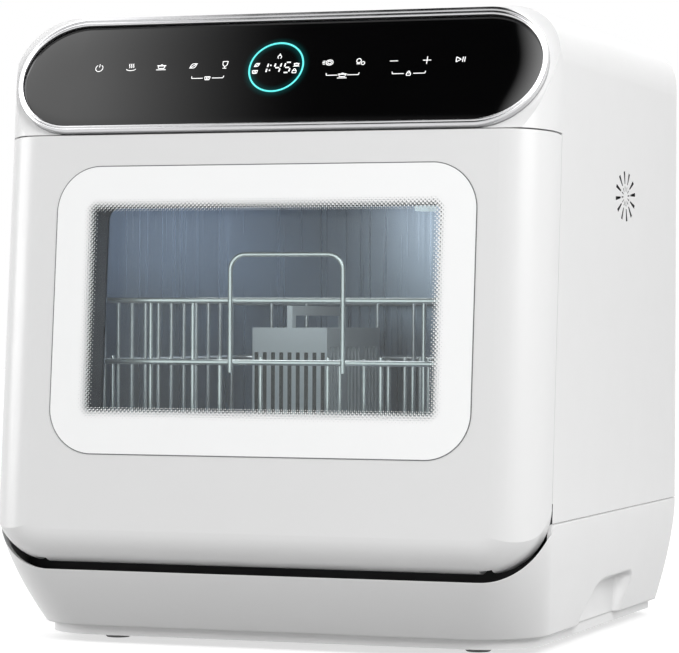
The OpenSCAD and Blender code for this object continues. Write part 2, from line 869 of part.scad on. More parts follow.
// Housing that hangs on the ceiling just behind the door
module interior_lamp() {
    low = tub_top - 35;
    x = tub_half_w - 64;
    y = lean_y(tub_front, low) + 3;
    color("whitesmoke") {
        block([x - 5, y, low], [x + 5, y + 18, tub_top]);
        translate([x, y + 26, tub_top - 4]) cylinder(r = 9, h = 4);
    }
}

// ---------------------------------------------------------------- latch

module latch_housing() {
    low = mouth_high + 5;
    color("dimgray") on_door() difference() {
        block([-22, flange_back, low], [22, flange_back + 26, low + 23]);
        block([-18, flange_back - 1, low + 3], [18, flange_back + 22, low + 20]);
        latch_axis(low) along_x(-23, 23) circle(2 + run_fit);
    }
}

module latch_axis(low) {
    translate([0, flange_back + 17, low + 15]) children();
}

module latch_lever() {
    low = mouth_high + 5;
    hook = mouth_high + seal_out + 6.9 - (low + 15);
    color("whitesmoke") on_door() latch_axis(low) {
        along_x(-20, 20) circle(2);
        along_x(-6, 6) union() {
            circle(4);
            translate([-13, -1.5]) square([13, 4]);
            translate([-13, hook]) square([4, 2.5 - hook]);
        }
    }
}

// ---------------------------------------------------------------- wash system

module sump() {
    side = sump_half;
    front = arm_y - 35;
    back = filter_y + 50;
    wall = 2.5;
    color("dimgray") difference() {
        translate([0, 0, sump_low]) linear_extrude(tub_floor - tub_t - sump_low)
            rounded_rect(-side, side, front, back, 18, 18);
        translate([0, 0, sump_low + wall]) linear_extrude(tub_floor)
            rounded_rect(-side + wall, side - wall, front + wall, back - wall, 15.5, 15.5);
        translate([0, pump_y, feed_z]) along_x(-side - 1, wall + 1 - side) circle(hose_bore_r);
        translate([0, drain_y, feed_z]) along_x(side - wall - 1, side + 1) circle(hose_bore_r);
    }
}

module filter_plate() {
    holes = 18;
    color("silver") translate([0, filter_y, tub_floor]) difference() {
        cylinder(r = filter_r + 22, h = 1.5);
        translate([0, 0, -1]) cylinder(r = filter_r + run_fit, h = 4);
        for (i = [0 : holes - 1]) rotate([0, 0, 360 / holes * i])
            translate([filter_r + 9, 0, -1]) cylinder(r = 1.8, h = 4, $fn = 16);
    }
}

module filter_cup() {
    rim = tub_floor + 1.5 + seat_gap;
    bottom = sump_low + 2.5 + seat_gap;
    color("darkgray") translate([0, filter_y, 0]) {
        difference() {
            translate([0, 0, bottom]) cylinder(r = filter_r, h = rim + 1.2 - bottom);
            translate([0, 0, bottom + 2]) cylinder(r = filter_r - 2, h = rim);
        }
        translate([0, 0, rim]) difference() {
            cylinder(r = filter_r + 2, h = 1.2);
            translate([0, 0, -1]) cylinder(r = filter_r - 2, h = 4);
        }
        block([-filter_r + 1, -2, rim - 6], [filter_r - 1, 2, arm_z - 1.5]);
    }
}

module spray_post() {
    color("whitesmoke") translate([0, arm_y, tub_floor]) difference() {
        union() {
            cylinder(r = post_r + 6, h = 3);
            cylinder(r = post_r + 3, h = arm_z - tub_floor - seat_gap);
            cylinder(r = post_r, h = arm_z - tub_floor + arm_t + 1);
        }
        translate([0, 0, -1]) cylinder(r = post_r - 2.5, h = arm_z - tub_floor + arm_t - 1);
    }
}

module spray_arm() {
    root = 17;
    tip = 9;
    far = arm_reach - tip;
    color("darkgray") translate([0, arm_y, arm_z]) difference() {
        union() {
            for (turn = [0, 180]) rotate([0, 0, turn]) {
                linear_extrude(arm_t) union() {
                    polygon([[0, -root], [far, -tip], [far, tip], [0, root]]);
                    translate([far, 0]) circle(tip);
                }
                for (k = [1 : 4]) translate([far * (k + 0.2 * (turn / 180)) / 4.4, 3 - k, arm_t - 0.5])
                    cylinder(r = 3, h = 2, $fn = 24);
            }
            cylinder(r = root + 3, h = arm_t);
        }
        translate([0, 0, -1]) cylinder(r = post_r + run_fit, h = arm_t + 2);
    }
}

module wash_pump_housing() {
    wide = 20;
    wall = 2.5;
    color("dimgray") difference() {
        union() {
            translate([0, pump_y, pump_z]) along_x(volute_x, volute_x + wide) circle(motor_r + 4);
            block([volute_x, pump_y - 12, floor_z], [volute_x + wide, pump_y + 12, pump_z]);
        }
        translate([0, pump_y, pump_z]) along_x(volute_x + wall, volute_x + wide - wall) circle(motor_r + 0.5);
        translate([0, pump_y, pump_z]) along_x(volute_x - 1, volute_x + wall + 1) circle(3 + run_fit);
        translate([0, pump_y, feed_z])
            along_x(volute_x + wide - wall - 1, volute_x + wide + 1) circle(hose_bore_r);
    }
}

module wash_pump_motor() {
    long = 62;
    color("silver") translate([0, pump_y, pump_z]) difference() {
        union() {
            along_x(volute_x - long, volute_x) circle(motor_r);
            block([volute_x - long + 8, -14, floor_z - pump_z], [volute_x - 10, 14, -motor_r + 3]);
        }
        along_x(volute_x - 28, volute_x + 1) circle(3 + run_fit);
    }
}

module pump_impeller() {
    color("whitesmoke") translate([0, pump_y, pump_z]) {
        along_x(volute_x - 26, volute_x + 14) circle(3);
        along_x(volute_x + 5, volute_x + 8) circle(motor_r - 4);
        for (i = [0 : 4]) rotate([72 * i, 0, 0])
            block([volute_x + 7.5, -1.2, 5], [volute_x + 14, 1.2, motor_r - 6]);
    }
}

module sump_hose() {
    color([0.15, 0.15, 0.16]) {
        translate([0, pump_y, feed_z]) along_x(volute_x + 20, -sump_half) circle(6);
        translate([0, drain_y, feed_z]) along_x(sump_half, drain_x - 18) circle(6);
    }
}

module drain_pump() {
    color("darkgray") {
        along_y(62, 98) rounded_rect(drain_x - 18, drain_x + 18, port_z - 18, port_z + 32, 8, 8);
        along_y(22, 62) translate([drain_x, port_z]) circle(16);
        block([drain_x - 12, 66, floor_z], [drain_x + 12, 94, port_z - 17]);
        block([drain_x - 6, 30, floor_z], [drain_x + 6, 54, port_z - 14]);
    }
}

module drain_hose() {
    color([0.15, 0.15, 0.16]) along_y(98, back_y - skin_t - 6)
        translate([drain_x, port_z]) circle(drain_r - 1);
}

module drain_spigot() {
    start = back_y - skin_t - 6;
    color("gray") difference() {
        union() {
            along_y(start, back_y + 1) translate([drain_x, port_z]) circle(drain_r + shoulder);
            along_y(back_y, back_y + collar_t) translate([drain_x, port_z]) circle(drain_r + 5);
            along_y(back_y + 1, back_y + rear_reach - 1)
                translate([drain_x, port_z]) circle(drain_r - shoulder);
            along_y(back_y + collar_t + 1, back_y + rear_reach) translate([drain_x, port_z]) circle(drain_r);
        }
        along_y(start + 2, back_y + rear_reach + 1) translate([drain_x, port_z]) circle(drain_bore_r);
    }
}

module inlet_valve() {
    color("whitesmoke") {
        block([valve_x - 18, back_y - 40, port_z - 16], [valve_x + 18, back_y - skin_t - 1, port_z + 16]);
        block([valve_x - 12, back_y - 36, floor_z], [valve_x + 12, back_y - 10, port_z - 16]);
        translate([valve_x, 0, port_z]) rotate([-90, 0, 0]) {
            translate([0, 0, back_y - skin_t - 2]) cylinder(r = inlet_r + shoulder, h = skin_t + 3);
            translate([0, 0, back_y]) cylinder(r = inlet_r + 3.5, h = collar_t);
            translate([0, 0, back_y + 1]) cylinder(r = inlet_r - shoulder, h = rear_reach - 2);
            translate([0, 0, back_y + collar_t + 1]) cylinder(r = inlet_r, h = rear_reach - collar_t - 1);
        }
    }
}

module inlet_hose() {
    color([0.15, 0.15, 0.16]) translate([valve_x, tank_front + 18, port_z + 16])
        cylinder(r = 7, h = tub_floor - 4 - port_z - 16);
}

module cord_gland() {
    color("dimgray") difference() {
        union() {
            along_y(back_y, back_y + 12) translate([gland_x, port_z]) circle(gland_bore_r + 5);
            along_y(back_y - skin_t, back_y + 1) translate([gland_x, port_z]) circle(gland_bore_r + 2.4);
            along_y(back_y - skin_t - 5, back_y - skin_t)
                translate([gland_x, port_z]) circle(gland_bore_r + 6);
        }
        along_y(back_y - 20, back_y + 20) translate([gland_x, port_z]) circle(gland_bore_r);
    }
}

// Heats the water on its way to the spray arm
module flow_heater() {
    color("silver") {
        along_y(-110, 0) translate([drain_x, 48]) circle(17);
        along_y(-118, 8) translate([drain_x, 48]) circle(9);
        for (y = [-95, -25]) block([drain_x - 10, y, floor_z], [drain_x + 10, y + 12, 40]);
    }
}

module tank_room(inset) {
    block([inset - tank_half_w, tank_front + inset, tub_floor - 4 + inset],
        [tank_half_w - inset, tank_back - inset, tank_top - inset]);
    block([inset - tank_foot_w, tank_front + inset, floor_z + inset],
        [tank_foot_w - inset, tank_back - inset, tub_floor + 4]);
    block([fill_x - 46 + inset, fill_y - 36 + inset, tub_top + 12 + inset],
        [fill_x + 46 - inset, tank_back - inset, tank_top - inset]);
}

module water_tank() {
    color([0.85, 0.88, 0.9]) difference() {
        tank_room(0);
        tank_room(tank_wall);
        translate([fill_x, fill_y, tank_top - tank_wall - 1]) cylinder(r = 23, h = tank_wall + 2);
    }
}

module fill_funnel() {
    floor = top_in - 24;
    color("whitesmoke") difference() {
        union() {
            translate([fill_x, fill_y, floor]) linear_extrude(top_in - floor)
                rounded_rect(-fill_w / 2 - 2.5, fill_w / 2 + 2.5, -fill_l / 2 - 2.5, fill_l / 2 + 2.5, 4, 4);
            translate([fill_x, fill_y, tank_top]) cylinder(r = 26, h = floor - tank_top + 1);
        }
        difference() {
            translate([fill_x, fill_y, floor + 2.5]) linear_extrude(top_in)
                rounded_rect(-fill_w / 2, fill_w / 2, -fill_l / 2, fill_l / 2, 2, 1);
            block([fill_x - fill_w, fill_y - fill_l, floor],
                [fill_x + fill_w, fill_y - fill_l / 2 + 2, top_in - 0.6]);
        }
        translate([fill_x, fill_y, tank_top - 1]) cylinder(r = 23, h = 60);
        fill_axis() along_x(-fill_w, fill_w) circle(1.5 + run_fit);
    }
}

module fill_axis() {
    translate([fill_x, knuckle_y, knuckle_z]) children();
}

module fill_lid() {
    side = fill_w / 2 - seat_gap;
    color("gainsboro") {
        fill_axis() along_x(-side, side) circle(knuckle_r);
        fill_axis() along_x(-side - 2, side + 2) circle(1.5);
        translate([fill_x, 0, body_h - 2.6]) linear_extrude(2.6)
            rounded_rect(-side, side, fill_y - fill_l / 2 + seat_gap, knuckle_y, 4, 0.5);
    }
}

// ---------------------------------------------------------------- fan

module fan_housing() {
    half = fan_r + 3;
    out = inner_x - 1.2;
    color([0.12, 0.12, 0.13]) translate([0, vent_y, vent_z]) difference() {
        union() {
            difference() {
                block([fan_in, -half, -half], [out, half, half]);
                along_x(fan_in + 5, out + 1) circle(fan_r + 1);
            }
            along_x(fan_in, fan_in + 9) circle(8);
            block([fan_in - 4, -9, -9], [fan_in + 1, 9, 9]);
        }
        along_x(fan_in + 4, fan_in + 12) circle(1.5 + run_fit);
    }
}

module fan_rotor() {
    hub = fan_in + 9.6;
    color("dimgray") translate([0, vent_y, vent_z]) {
        along_x(fan_in + 4.5, hub + 1) circle(1.5);
        along_x(hub, hub + 10) circle(8);
        for (i = [0 : 6]) rotate([360 / 7 * i, 0, 0])
            translate([hub + 5, 0, 0]) rotate([0, 0, 35])
                block([-5, -0.6, 6], [5, 0.6, fan_r - 0.6]);
    }
}

// Black mesh disc behind the slots of the side wall
module vent_screen() {
    color([0.06, 0.06, 0.07]) translate([0, vent_y, vent_z])
        along_x(inner_x - 1.2, inner_x) rounded_rect(-vent_half - 2.5, vent_half + 2.5,
            -vent_r - 2.6, vent_r + 2.6, vent_r + 2.5, vent_r + 2.5);
}

// ---------------------------------------------------------------- rack

// One rail of an end panel: a straight wire, and a quarter bend that meets each of its ends
module end_rail(z, y, inward, half) {
    far = half - rack_corner_r;
    translate([0, y, z]) along_x(hair - far, far - hair) circle(rail_wire_r);
    both_sides() translate([far, y + inward * rack_corner_r, z])
        rotate([0, 0, inward > 0 ? -90 : 0]) rotate_extrude(angle = 90)
            translate([rack_corner_r, 0]) circle(rail_wire_r);
}

// An upright wire from z0 to z1
module upright(x, y, z0, z1, r) {
    translate([x, y, z0]) cylinder(r = r, h = z1 - z0);
}

weld = 0.4;
touch = 0.05;
panel_in = rail_wire_r + wire_r - weld;
floor_half = rack_half_w - panel_in;
upright_low = rack_floor_z + rail_wire_r - touch;
handle_half = 41.5;
handle_mid = 3;
tall_x = rack_half_w * [-0.682, -0.466, 0.682, 0.878];
low_x = rack_half_w * [-0.878, -0.328, -0.122, 0.212, 0.473];

module rack_front() {
    bend = 11;
    inner = rack_front_y + panel_in;
    color("silver") {
        end_rail(rack_top_z, rack_front_y, 1, rack_half_w);
        end_rail(rack_mid_z, rack_front_y, 1, rack_half_w);
        for (x = tall_x) upright(x, inner, upright_low, rack_top_z, wire_r);
        for (x = low_x) upright(x, inner, upright_low, rack_mid_z + 4, wire_r);
        for (s = [-1, 1]) {
            upright(handle_mid + s * handle_half, rack_front_y - panel_in,
                rack_mid_z - 7, handle_top_z - bend, wire_r + 0.2);
            translate([handle_mid + s * (handle_half - bend), rack_front_y - panel_in, handle_top_z - bend])
                rotate([90, s > 0 ? 0 : -90, 0]) rotate_extrude(angle = 90)
                    translate([bend, 0]) circle(wire_r + 0.2);
        }
        translate([0, rack_front_y - panel_in, handle_top_z])
            along_x(handle_mid - handle_half + bend, handle_mid + handle_half - bend) circle(wire_r + 0.2);
    }
}

module rack_back() {
    color("silver") {
        end_rail(rack_top_z, rack_back_y, -1, rack_half_w);
        end_rail(rack_mid_z, rack_back_y, -1, rack_half_w);
        for (k = [-4 : 4])
            upright(0.2 * k * rack_half_w, rack_back_y - panel_in, upright_low, rack_top_z, wire_r);
    }
}

module rack_sides() {
    front = rack_front_y + rack_corner_r;
    back = rack_back_y - rack_corner_r;
    count = floor((back - front) / 24);
    color("silver") both_sides() {
        for (z = [rack_top_z, rack_mid_z])
            along_y(front, back) translate([rack_half_w, z]) circle(rail_wire_r);
        for (k = [0 : count]) upright(rack_half_w - panel_in, front + 4 + (back - front - 8) * k / count,
            upright_low, rack_top_z, wire_r);
    }
}

// Floor grid: an outer loop, wires both ways and four slide shoes
module rack_floor() {
    shoe_low = rail_top + seat_gap;
    color("silver") {
        end_rail(rack_floor_z, rack_front_y + panel_in, 1, floor_half);
        end_rail(rack_floor_z, rack_back_y - panel_in, -1, floor_half);
        both_sides() along_y(rack_front_y + panel_in + rack_corner_r, rack_back_y - panel_in - rack_corner_r)
            translate([floor_half, rack_floor_z]) circle(rail_wire_r);
        for (k = [-5 : 5]) along_y(rack_front_y + panel_in, rack_back_y - panel_in)
            translate([0.176 * k * rack_half_w, rack_floor_z]) circle(wire_r);
        for (k = [1 : 7]) translate([0, rack_front_y + rack_len * k / 8, rack_floor_z - 2 * wire_r + weld])
            along_x(-floor_half, floor_half) circle(wire_r);
    }
    color("whitesmoke") both_sides() for (y = [rack_front_y + 106, rack_back_y - 38])
        block([floor_half + rail_wire_r - weld, y - 9, shoe_low], [tub_half_w - 2, y + 9, shoe_low + 8]);
}

tine_rows = [rack_front_y + 44, rack_front_y + 136, rack_back_y - 66];
tine_first = 26;
tine_count = 6;

// Straight tines stand in rows on cross wires, and plates go between them
module plate_tines() {
    base = rack_floor_z + 2 * wire_r - touch;
    last = tine_first + tine_pitch * (tine_count - 1);
    color("silver") for (y = tine_rows) {
        translate([0, y, base]) along_x(tine_first - 6, last + 6) circle(wire_r);
        for (k = [0 : tine_count - 1]) upright(tine_first + tine_pitch * k, y, base + wire_r + hair,
            base + tine_h, wire_r);
    }
}

basket_x0 = -66;
basket_x1 = -8;
basket_y0 = rack_front_y + 112;
basket_y1 = basket_y0 + 120;

// Three cells with slotted walls, and a handle along the middle. Each plate is a solid of its own.
module cutlery_basket() {
    low = rack_floor_z + wire_r + seat_gap;
    high = rack_mid_z + 24;
    wall = 2;
    mid = (basket_x0 + basket_x1) / 2;
    cell = (basket_y1 - basket_y0 - wall) / 3;
    color("gray") {
        block([basket_x0, basket_y0, low], [basket_x1, basket_y1, low + wall]);
        for (x = [basket_x0, basket_x1 - wall]) difference() {
            block([x, basket_y0, low + wall + hair], [x + wall, basket_y1, high]);
            for (k = [0 : 2]) for (j = [0 : 3])
                block([x - 1, basket_y0 + cell * k + 6 + j * (cell - 8) / 4, low + 8],
                    [x + wall + 1, basket_y0 + cell * k + 10 + j * (cell - 8) / 4, high - 14]);
        }
        for (k = [0 : 3]) block([basket_x0 + wall + hair, basket_y0 + cell * k, low + wall + hair],
            [basket_x1 - wall - hair, basket_y0 + cell * k + wall, high]);
        difference() {
            block([mid - 2, basket_y0, high + hair], [mid + 2, basket_y1, high + 16]);
            block([mid - 3, basket_y0 + 8, high - 1], [mid + 3, basket_y1 - 8, high + 9]);
        }
    }
}

// ---------------------------------------------------------------- nodes

outer_cabinet();
rear_cover();
base_housing();
plinth_tray();
feet();
control_housing();
control_trim();
control_glass();
display_ring();
display_module();
touch_board();
power_board();
tub();
door_seal();
rack_rails();
well_guard();
hinge_brackets();
latch_housing();
latch_lever();
sump();
filter_plate();
filter_cup();
spray_post();
spray_arm();
wash_pump_housing();
wash_pump_motor();
pump_impeller();
sump_hose();
drain_pump();
drain_hose();
drain_spigot();
flow_heater();
water_tank();
fill_funnel();
fill_lid();
inlet_valve();
inlet_hose();
cord_gland();
fan_housing();
fan_rotor();
vent_screen();
interior_lamp();
cabinet_screws();
door_outer();
door_glass();
window_spacer();
window_gasket();
inner_pane();
door_liner();
hinge_arms();
hinge_pins();
door_strike();
detergent_cup();
detergent_lid();
rack_front();
rack_back();
rack_sides();
rack_floor();
plate_tines();
cutlery_basket();
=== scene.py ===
# %% [markdown]
# # A countertop dishwasher
# The machine is a white cabinet with a drop-down glazed door, a black glass control panel
# on its tilted brow, and a wire rack behind the window. Its solids come from the packed
# part. This lesson gives them their finishes, adds the printed and lit signs and the softer
# skins that thin solids can't show, and sets up the studio. Everything is in metres.

# %% Load the solids
import json
import math

import bmesh
import bpy
import numpy as np
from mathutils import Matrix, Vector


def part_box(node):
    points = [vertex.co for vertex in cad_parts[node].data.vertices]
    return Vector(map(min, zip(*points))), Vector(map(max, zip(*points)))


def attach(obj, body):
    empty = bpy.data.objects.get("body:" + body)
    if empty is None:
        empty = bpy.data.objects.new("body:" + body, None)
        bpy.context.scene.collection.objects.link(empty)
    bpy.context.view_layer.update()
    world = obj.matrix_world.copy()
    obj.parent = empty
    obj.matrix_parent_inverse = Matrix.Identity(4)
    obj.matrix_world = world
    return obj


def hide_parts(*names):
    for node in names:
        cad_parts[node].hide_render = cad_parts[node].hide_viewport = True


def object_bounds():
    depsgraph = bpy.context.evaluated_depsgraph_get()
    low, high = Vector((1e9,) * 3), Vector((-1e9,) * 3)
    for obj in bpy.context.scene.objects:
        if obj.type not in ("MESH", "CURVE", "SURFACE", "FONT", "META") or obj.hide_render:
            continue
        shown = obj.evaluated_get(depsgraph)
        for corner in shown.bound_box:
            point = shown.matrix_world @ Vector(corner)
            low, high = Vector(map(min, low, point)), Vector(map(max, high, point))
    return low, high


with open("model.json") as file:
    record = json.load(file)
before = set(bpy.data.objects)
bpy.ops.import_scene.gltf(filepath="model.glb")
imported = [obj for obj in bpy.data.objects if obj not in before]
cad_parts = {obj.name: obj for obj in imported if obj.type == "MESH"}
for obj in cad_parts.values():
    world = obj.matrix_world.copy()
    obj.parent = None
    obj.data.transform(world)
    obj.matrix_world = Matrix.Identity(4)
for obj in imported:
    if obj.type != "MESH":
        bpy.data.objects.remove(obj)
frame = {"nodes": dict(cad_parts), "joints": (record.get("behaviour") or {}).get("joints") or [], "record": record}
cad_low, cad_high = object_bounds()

print("size:", [round(high - low, 4) for low, high in zip(cad_low, cad_high)])

# %% [markdown]
# ## The camera
# The machine was seen from its right front, a little above half its height and from about
# two metres away. A long lens keeps the upright edges almost parallel. The three angles are
# the tilt down, the roll and the turn about the vertical.

# %% Camera
camera_data = bpy.data.cameras.new("camera")
camera_data.sensor_width = 36.0
camera_data.lens = 164.8
camera = bpy.data.objects.new("camera", camera_data)
camera.location = (0.7493, -2.1721, 0.2261)
camera.rotation_euler = (math.radians(90 - 0.11), math.radians(-0.24), math.radians(19.36))
bpy.context.scene.collection.objects.link(camera)
bpy.context.scene.camera = camera
print("camera stands", round(camera.location.length, 3), "m from the middle of the worktop")

# %% [markdown]
# ## Two leaning frames
# The door leans back by a few degrees and the control panel by many more. Both are easier
# to draw in frames of their own, with one axis across, one axis into the machine and one
# axis up along the face. A point of the panel's frame is brought into the machine's by one
# rotation about the X axis and one shift. The door's finishes go the other way, from a place
# on the machine to the place on the door. The shifts are measured on the solids: the door
# turns about its pins, and the panel's frame starts at the lower edge of its rim.

# %% Frames of the door and the control panel
DOOR_LEAN = math.radians(4.9)
PANEL_TILT = math.radians(28.1)
door_hinge = next(j for j in frame["joints"] if j["name"] == "door_hinge")["pos_m"]
trim_low, trim_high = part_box("control_trim")
rim_height = (trim_high.z - trim_low.z) / math.cos(PANEL_TILT)
PANEL_LENGTH = 0.094
PANEL_FOOT = (trim_low.y, cad_high.z - PANEL_LENGTH * math.cos(PANEL_TILT))


def on_panel(points):
    """Points (across, inward, up from the rim's lower edge) of the panel's frame, in the machine's frame.

    x stays; y = foot_y + inward * cos + up * sin; z = foot_z - inward * sin + up * cos.
    """
    across, inward, up = np.moveaxis(np.asarray(points, float), -1, 0)
    cos, sin = math.cos(PANEL_TILT), math.sin(PANEL_TILT)
    foot_y, foot_z = PANEL_FOOT
    return np.stack([across, foot_y + inward * cos + up * sin, foot_z - inward * sin + up * cos], -1)


print("panel foot:", [round(value, 4) for value in PANEL_FOOT], "rim height", round(rim_height, 4))

# %% [markdown]
# ## Putting arrays into meshes
# Every new piece is worked out with numpy as a grid of points, or as a profile carried
# along a path, which is a grid as well. One helper turns a grid into quads and closes it
# either way. Another puts the arrays into a mesh and lets the piece ride on its body. The
# same shapes could be made by hand with Blender's curves and extrusions, but as arrays each
# measure has a name and the piece comes out alike at every run.

# %% Mesh helpers
def grid_quads(rows, columns, wrap_rows=False, wrap_columns=False, start=0):
    """Quad (i, j), (i+1, j), (i+1, j+1), (i, j+1) for every cell; a wrapped way runs on to its start."""
    i, j = np.meshgrid(np.arange(rows - (not wrap_rows)), np.arange(columns - (not wrap_columns)), indexing="ij")
    after_i, after_j = (i + 1) % rows, (j + 1) % columns
    corners = [i * columns + j, after_i * columns + j, after_i * columns + after_j, i * columns + after_j]
    return np.stack(corners, -1).reshape(-1, 4) + start


def make_piece(name, points, quads, body, finish, smooth=True):
    """A mesh object with its place in its mesh, riding on a body, with one finish."""
    mesh = bpy.data.meshes.new(name)
    mesh.from_pydata(np.asarray(points).reshape(-1, 3).tolist(), [], np.asarray(quads).tolist())
    mesh.validate()
    mesh.polygons.foreach_set("use_smooth", np.full(len(mesh.polygons), smooth))
    mesh.materials.append(finish)
    piece = bpy.data.objects.new(name, mesh)
    bpy.context.scene.collection.objects.link(piece)
    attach(piece, body)
    return piece


def merged(piece, distance=0.00002):
    """Merges points that share a place, which closes rings that shrink to a line, and turns faces outwards."""
    shape = bmesh.new()
    shape.from_mesh(piece.data)
    bmesh.ops.remove_doubles(shape, verts=shape.verts, dist=distance)
    bmesh.ops.dissolve_degenerate(shape, edges=shape.edges, dist=distance / 4)
    bmesh.ops.recalc_face_normals(shape, faces=shape.faces)
    shape.to_mesh(piece.data)
    shape.free()


def joined(parts):
    """Several (points, quads) pairs as one pair, each part's quads counted on from the points before it."""
    counts = np.cumsum([0] + [len(points) for points, quads in parts[:-1]])
    return (
        np.concatenate([points for points, quads in parts]),
        np.concatenate([quads + count for (points, quads), count in zip(parts, counts)]),
    )


print("a grid of 3 by 4 points has", len(grid_quads(3, 4)), "quads, and", len(grid_quads(3, 4, True, True)), "closed")

# %% [markdown]
# ## Building finishes from nodes
# A finish is a Principled shader fed by a few procedural nodes that read Object
# coordinates, so that it sticks to the piece in metres. Real moulded plastic isn't one flat
# colour: it has a fine spark-eroded grain, slight clouds in its shade and a gloss that
# changes over a hand's width. The helpers below write such a tree as if it were sums.

# %% Node helpers
def feed(tree, kind, feeds=None, out=0, **settings):
    """Adds a node, sets or links the inputs named in feeds, and returns one of its outputs."""
    made = tree.nodes.new("ShaderNode" + kind)
    for key, value in settings.items():
        setattr(made, key, value)
    for key, value in (feeds or {}).items():
        if isinstance(value, bpy.types.NodeSocket):
            tree.links.new(value, made.inputs[key])
        else:
            made.inputs[key].default_value = value
    return made.outputs[out]


def sums(tree, operation, *values):
    """One Math node: the operation on one to three numbers or sockets."""
    return feed(tree, "Math", dict(enumerate(values)), operation=operation)


def vector_sums(tree, operation, *values, out=0):
    """One Vector Math node."""
    return feed(tree, "VectorMath", dict(enumerate(values)), out=out, operation=operation)


def between(tree, value, low, high, to_low=0.0, to_high=1.0):
    """Maps low..high to to_low..to_high in a straight line and holds it there outside."""
    return feed(tree, "MapRange", {0: value, 1: low, 2: high, 3: to_low, 4: to_high})


def blend_colour(tree, share, first, second):
    """first where share is 0 and second where it is 1."""
    made = tree.nodes.new("ShaderNodeMix")
    made.data_type = "RGBA"
    for socket, value in zip((made.inputs[0], made.inputs[6], made.inputs[7]), (share, first, second)):
        if isinstance(value, bpy.types.NodeSocket):
            tree.links.new(value, socket)
        else:
            socket.default_value = value
    return made.outputs[2]


def rgba(colour, share=1.0):
    """A colour times share, with alpha 1."""
    return tuple(min(1.0, part * share) for part in colour) + (1.0,)


def new_finish(name):
    """An empty finish: the material, its node tree and its Principled shader."""
    made = bpy.data.materials.new(name)
    made.use_nodes = True
    return made, made.node_tree, made.node_tree.nodes["Principled BSDF"]


def place(tree, stretch=(1, 1, 1)):
    """Object coordinates, stretched along each axis."""
    coordinates = feed(tree, "TexCoord", out=3)
    return vector_sums(tree, "MULTIPLY", coordinates, stretch)


def noise(tree, where, scale, detail=3.0, roughness=0.5):
    """Noise from 0 to 1 with about scale bumps a metre."""
    return feed(tree, "TexNoise", {"Vector": where, "Scale": scale, "Detail": detail, "Roughness": roughness})


def dents(tree, height, depth):
    """A bump of that depth in metres from a height of 0 to 1."""
    return feed(tree, "Bump", {"Strength": 1.0, "Distance": depth, "Height": height})


def constants(shader, **values):
    """Sets the shader's own sockets, with spaces for the low lines in their names."""
    for key, value in values.items():
        shader.inputs[key.replace("_", " ")].default_value = value


def colour_from(tree, shader, colour):
    """Links a colour socket to the shader."""
    tree.links.new(colour, shader.inputs["Base Color"])


print("half of white:", rgba((1, 1, 1), 0.5))

# %% [markdown]
# ## Places on the door
# Two finishes need to know where they are on the door. A dot product with the door's own
# axes gives the distance across, up and inwards. The distance to a rounded rectangle is a
# common sum: how far a point lies beyond a smaller plain rectangle, less the corner.

# %% Places on the door
def door_plane(tree):
    """Across, up and inwards in the door's leaning frame: dot products with its two turned axes."""
    spot = vector_sums(tree, "SUBTRACT", feed(tree, "TexCoord", out=3), tuple(door_hinge))
    cos, sin = math.cos(DOOR_LEAN), math.sin(DOOR_LEAN)
    up = vector_sums(tree, "DOT_PRODUCT", spot, (0.0, sin, cos), out=1)
    inward = vector_sums(tree, "DOT_PRODUCT", spot, (0.0, cos, -sin), out=1)
    return feed(tree, "SeparateXYZ", {0: spot}, out=0), up, inward


def rounded_distance(tree, across, up, half_width, low, high, corner):
    """Distance to a rounded rectangle's edge, below zero inside it.

    It is the length of the part of (|across|, |up - middle|) that lies beyond the rectangle less its corners,
    and inside that rectangle the nearer side's distance, both less the corner.
    """
    from_middle = sums(tree, "ABSOLUTE", sums(tree, "SUBTRACT", up, (low + high) / 2))
    beyond = feed(tree, "CombineXYZ", {
        0: sums(tree, "SUBTRACT", sums(tree, "ABSOLUTE", across), half_width - corner),
        1: sums(tree, "SUBTRACT", from_middle, (high - low) / 2 - corner),
    })
    outside = vector_sums(tree, "LENGTH", vector_sums(tree, "MAXIMUM", beyond, (0, 0, 0)), out=1)
    sides = feed(tree, "SeparateXYZ", {0: beyond}, out=0)
    rise = feed(tree, "SeparateXYZ", {0: beyond}, out=1)
    inside = sums(tree, "MINIMUM", sums(tree, "MAXIMUM", sides, rise), 0.0)
    return sums(tree, "SUBTRACT", sums(tree, "ADD", outside, inside), corner)


print("the door leans", round(math.degrees(DOOR_LEAN), 1), "degrees round", [round(part, 4) for part in door_hinge])

# %% [markdown]
# ## Dark places
# Gaps, slots and ledges of a white moulding look dark, because hardly any light comes back
# out of them. From a few steps away that shadow is what draws the vent, the seam over the
# base and the slit beside the door's foot. Deep inside them the white is therefore painted
# nearly black, by sums on the place. The basket's plain walls get their slots in the same way,
# because cutting them would cost hundreds of faces that are only seen through two panes.

# %% Dark places
def within(tree, value, low, high):
    """1 between two limits, 0 outside."""
    return sums(tree, "MULTIPLY", sums(tree, "GREATER_THAN", value, low), sums(tree, "LESS_THAN", value, high))


VENT = (0.2, 0.013, 0.3165)
VENT_RADIUS = 0.0186
VENT_STRETCH = 1.6
VENT_DEPTH = (-0.01, -0.00015)


def vent_slot_shade(tree):
    """1 in the vent's slots, painted nearly black as their shade: near its middle in y and z, deeper than a thin skin
    in x.
    """
    off = vector_sums(tree, "SUBTRACT", place(tree), VENT)
    flat = vector_sums(tree, "LENGTH", vector_sums(tree, "MULTIPLY", off, (0, 1 / VENT_STRETCH, 1)), out=1)
    depth = feed(tree, "SeparateXYZ", {0: off}, out=0)
    return sums(tree, "MULTIPLY", sums(tree, "LESS_THAN", flat, VENT_RADIUS), within(tree, depth, *VENT_DEPTH))


SEAM = (0.0913, 0.09175)
SLIT_BACK = 0.0128
SLIT_RISE = (0.0119, 0.0262)


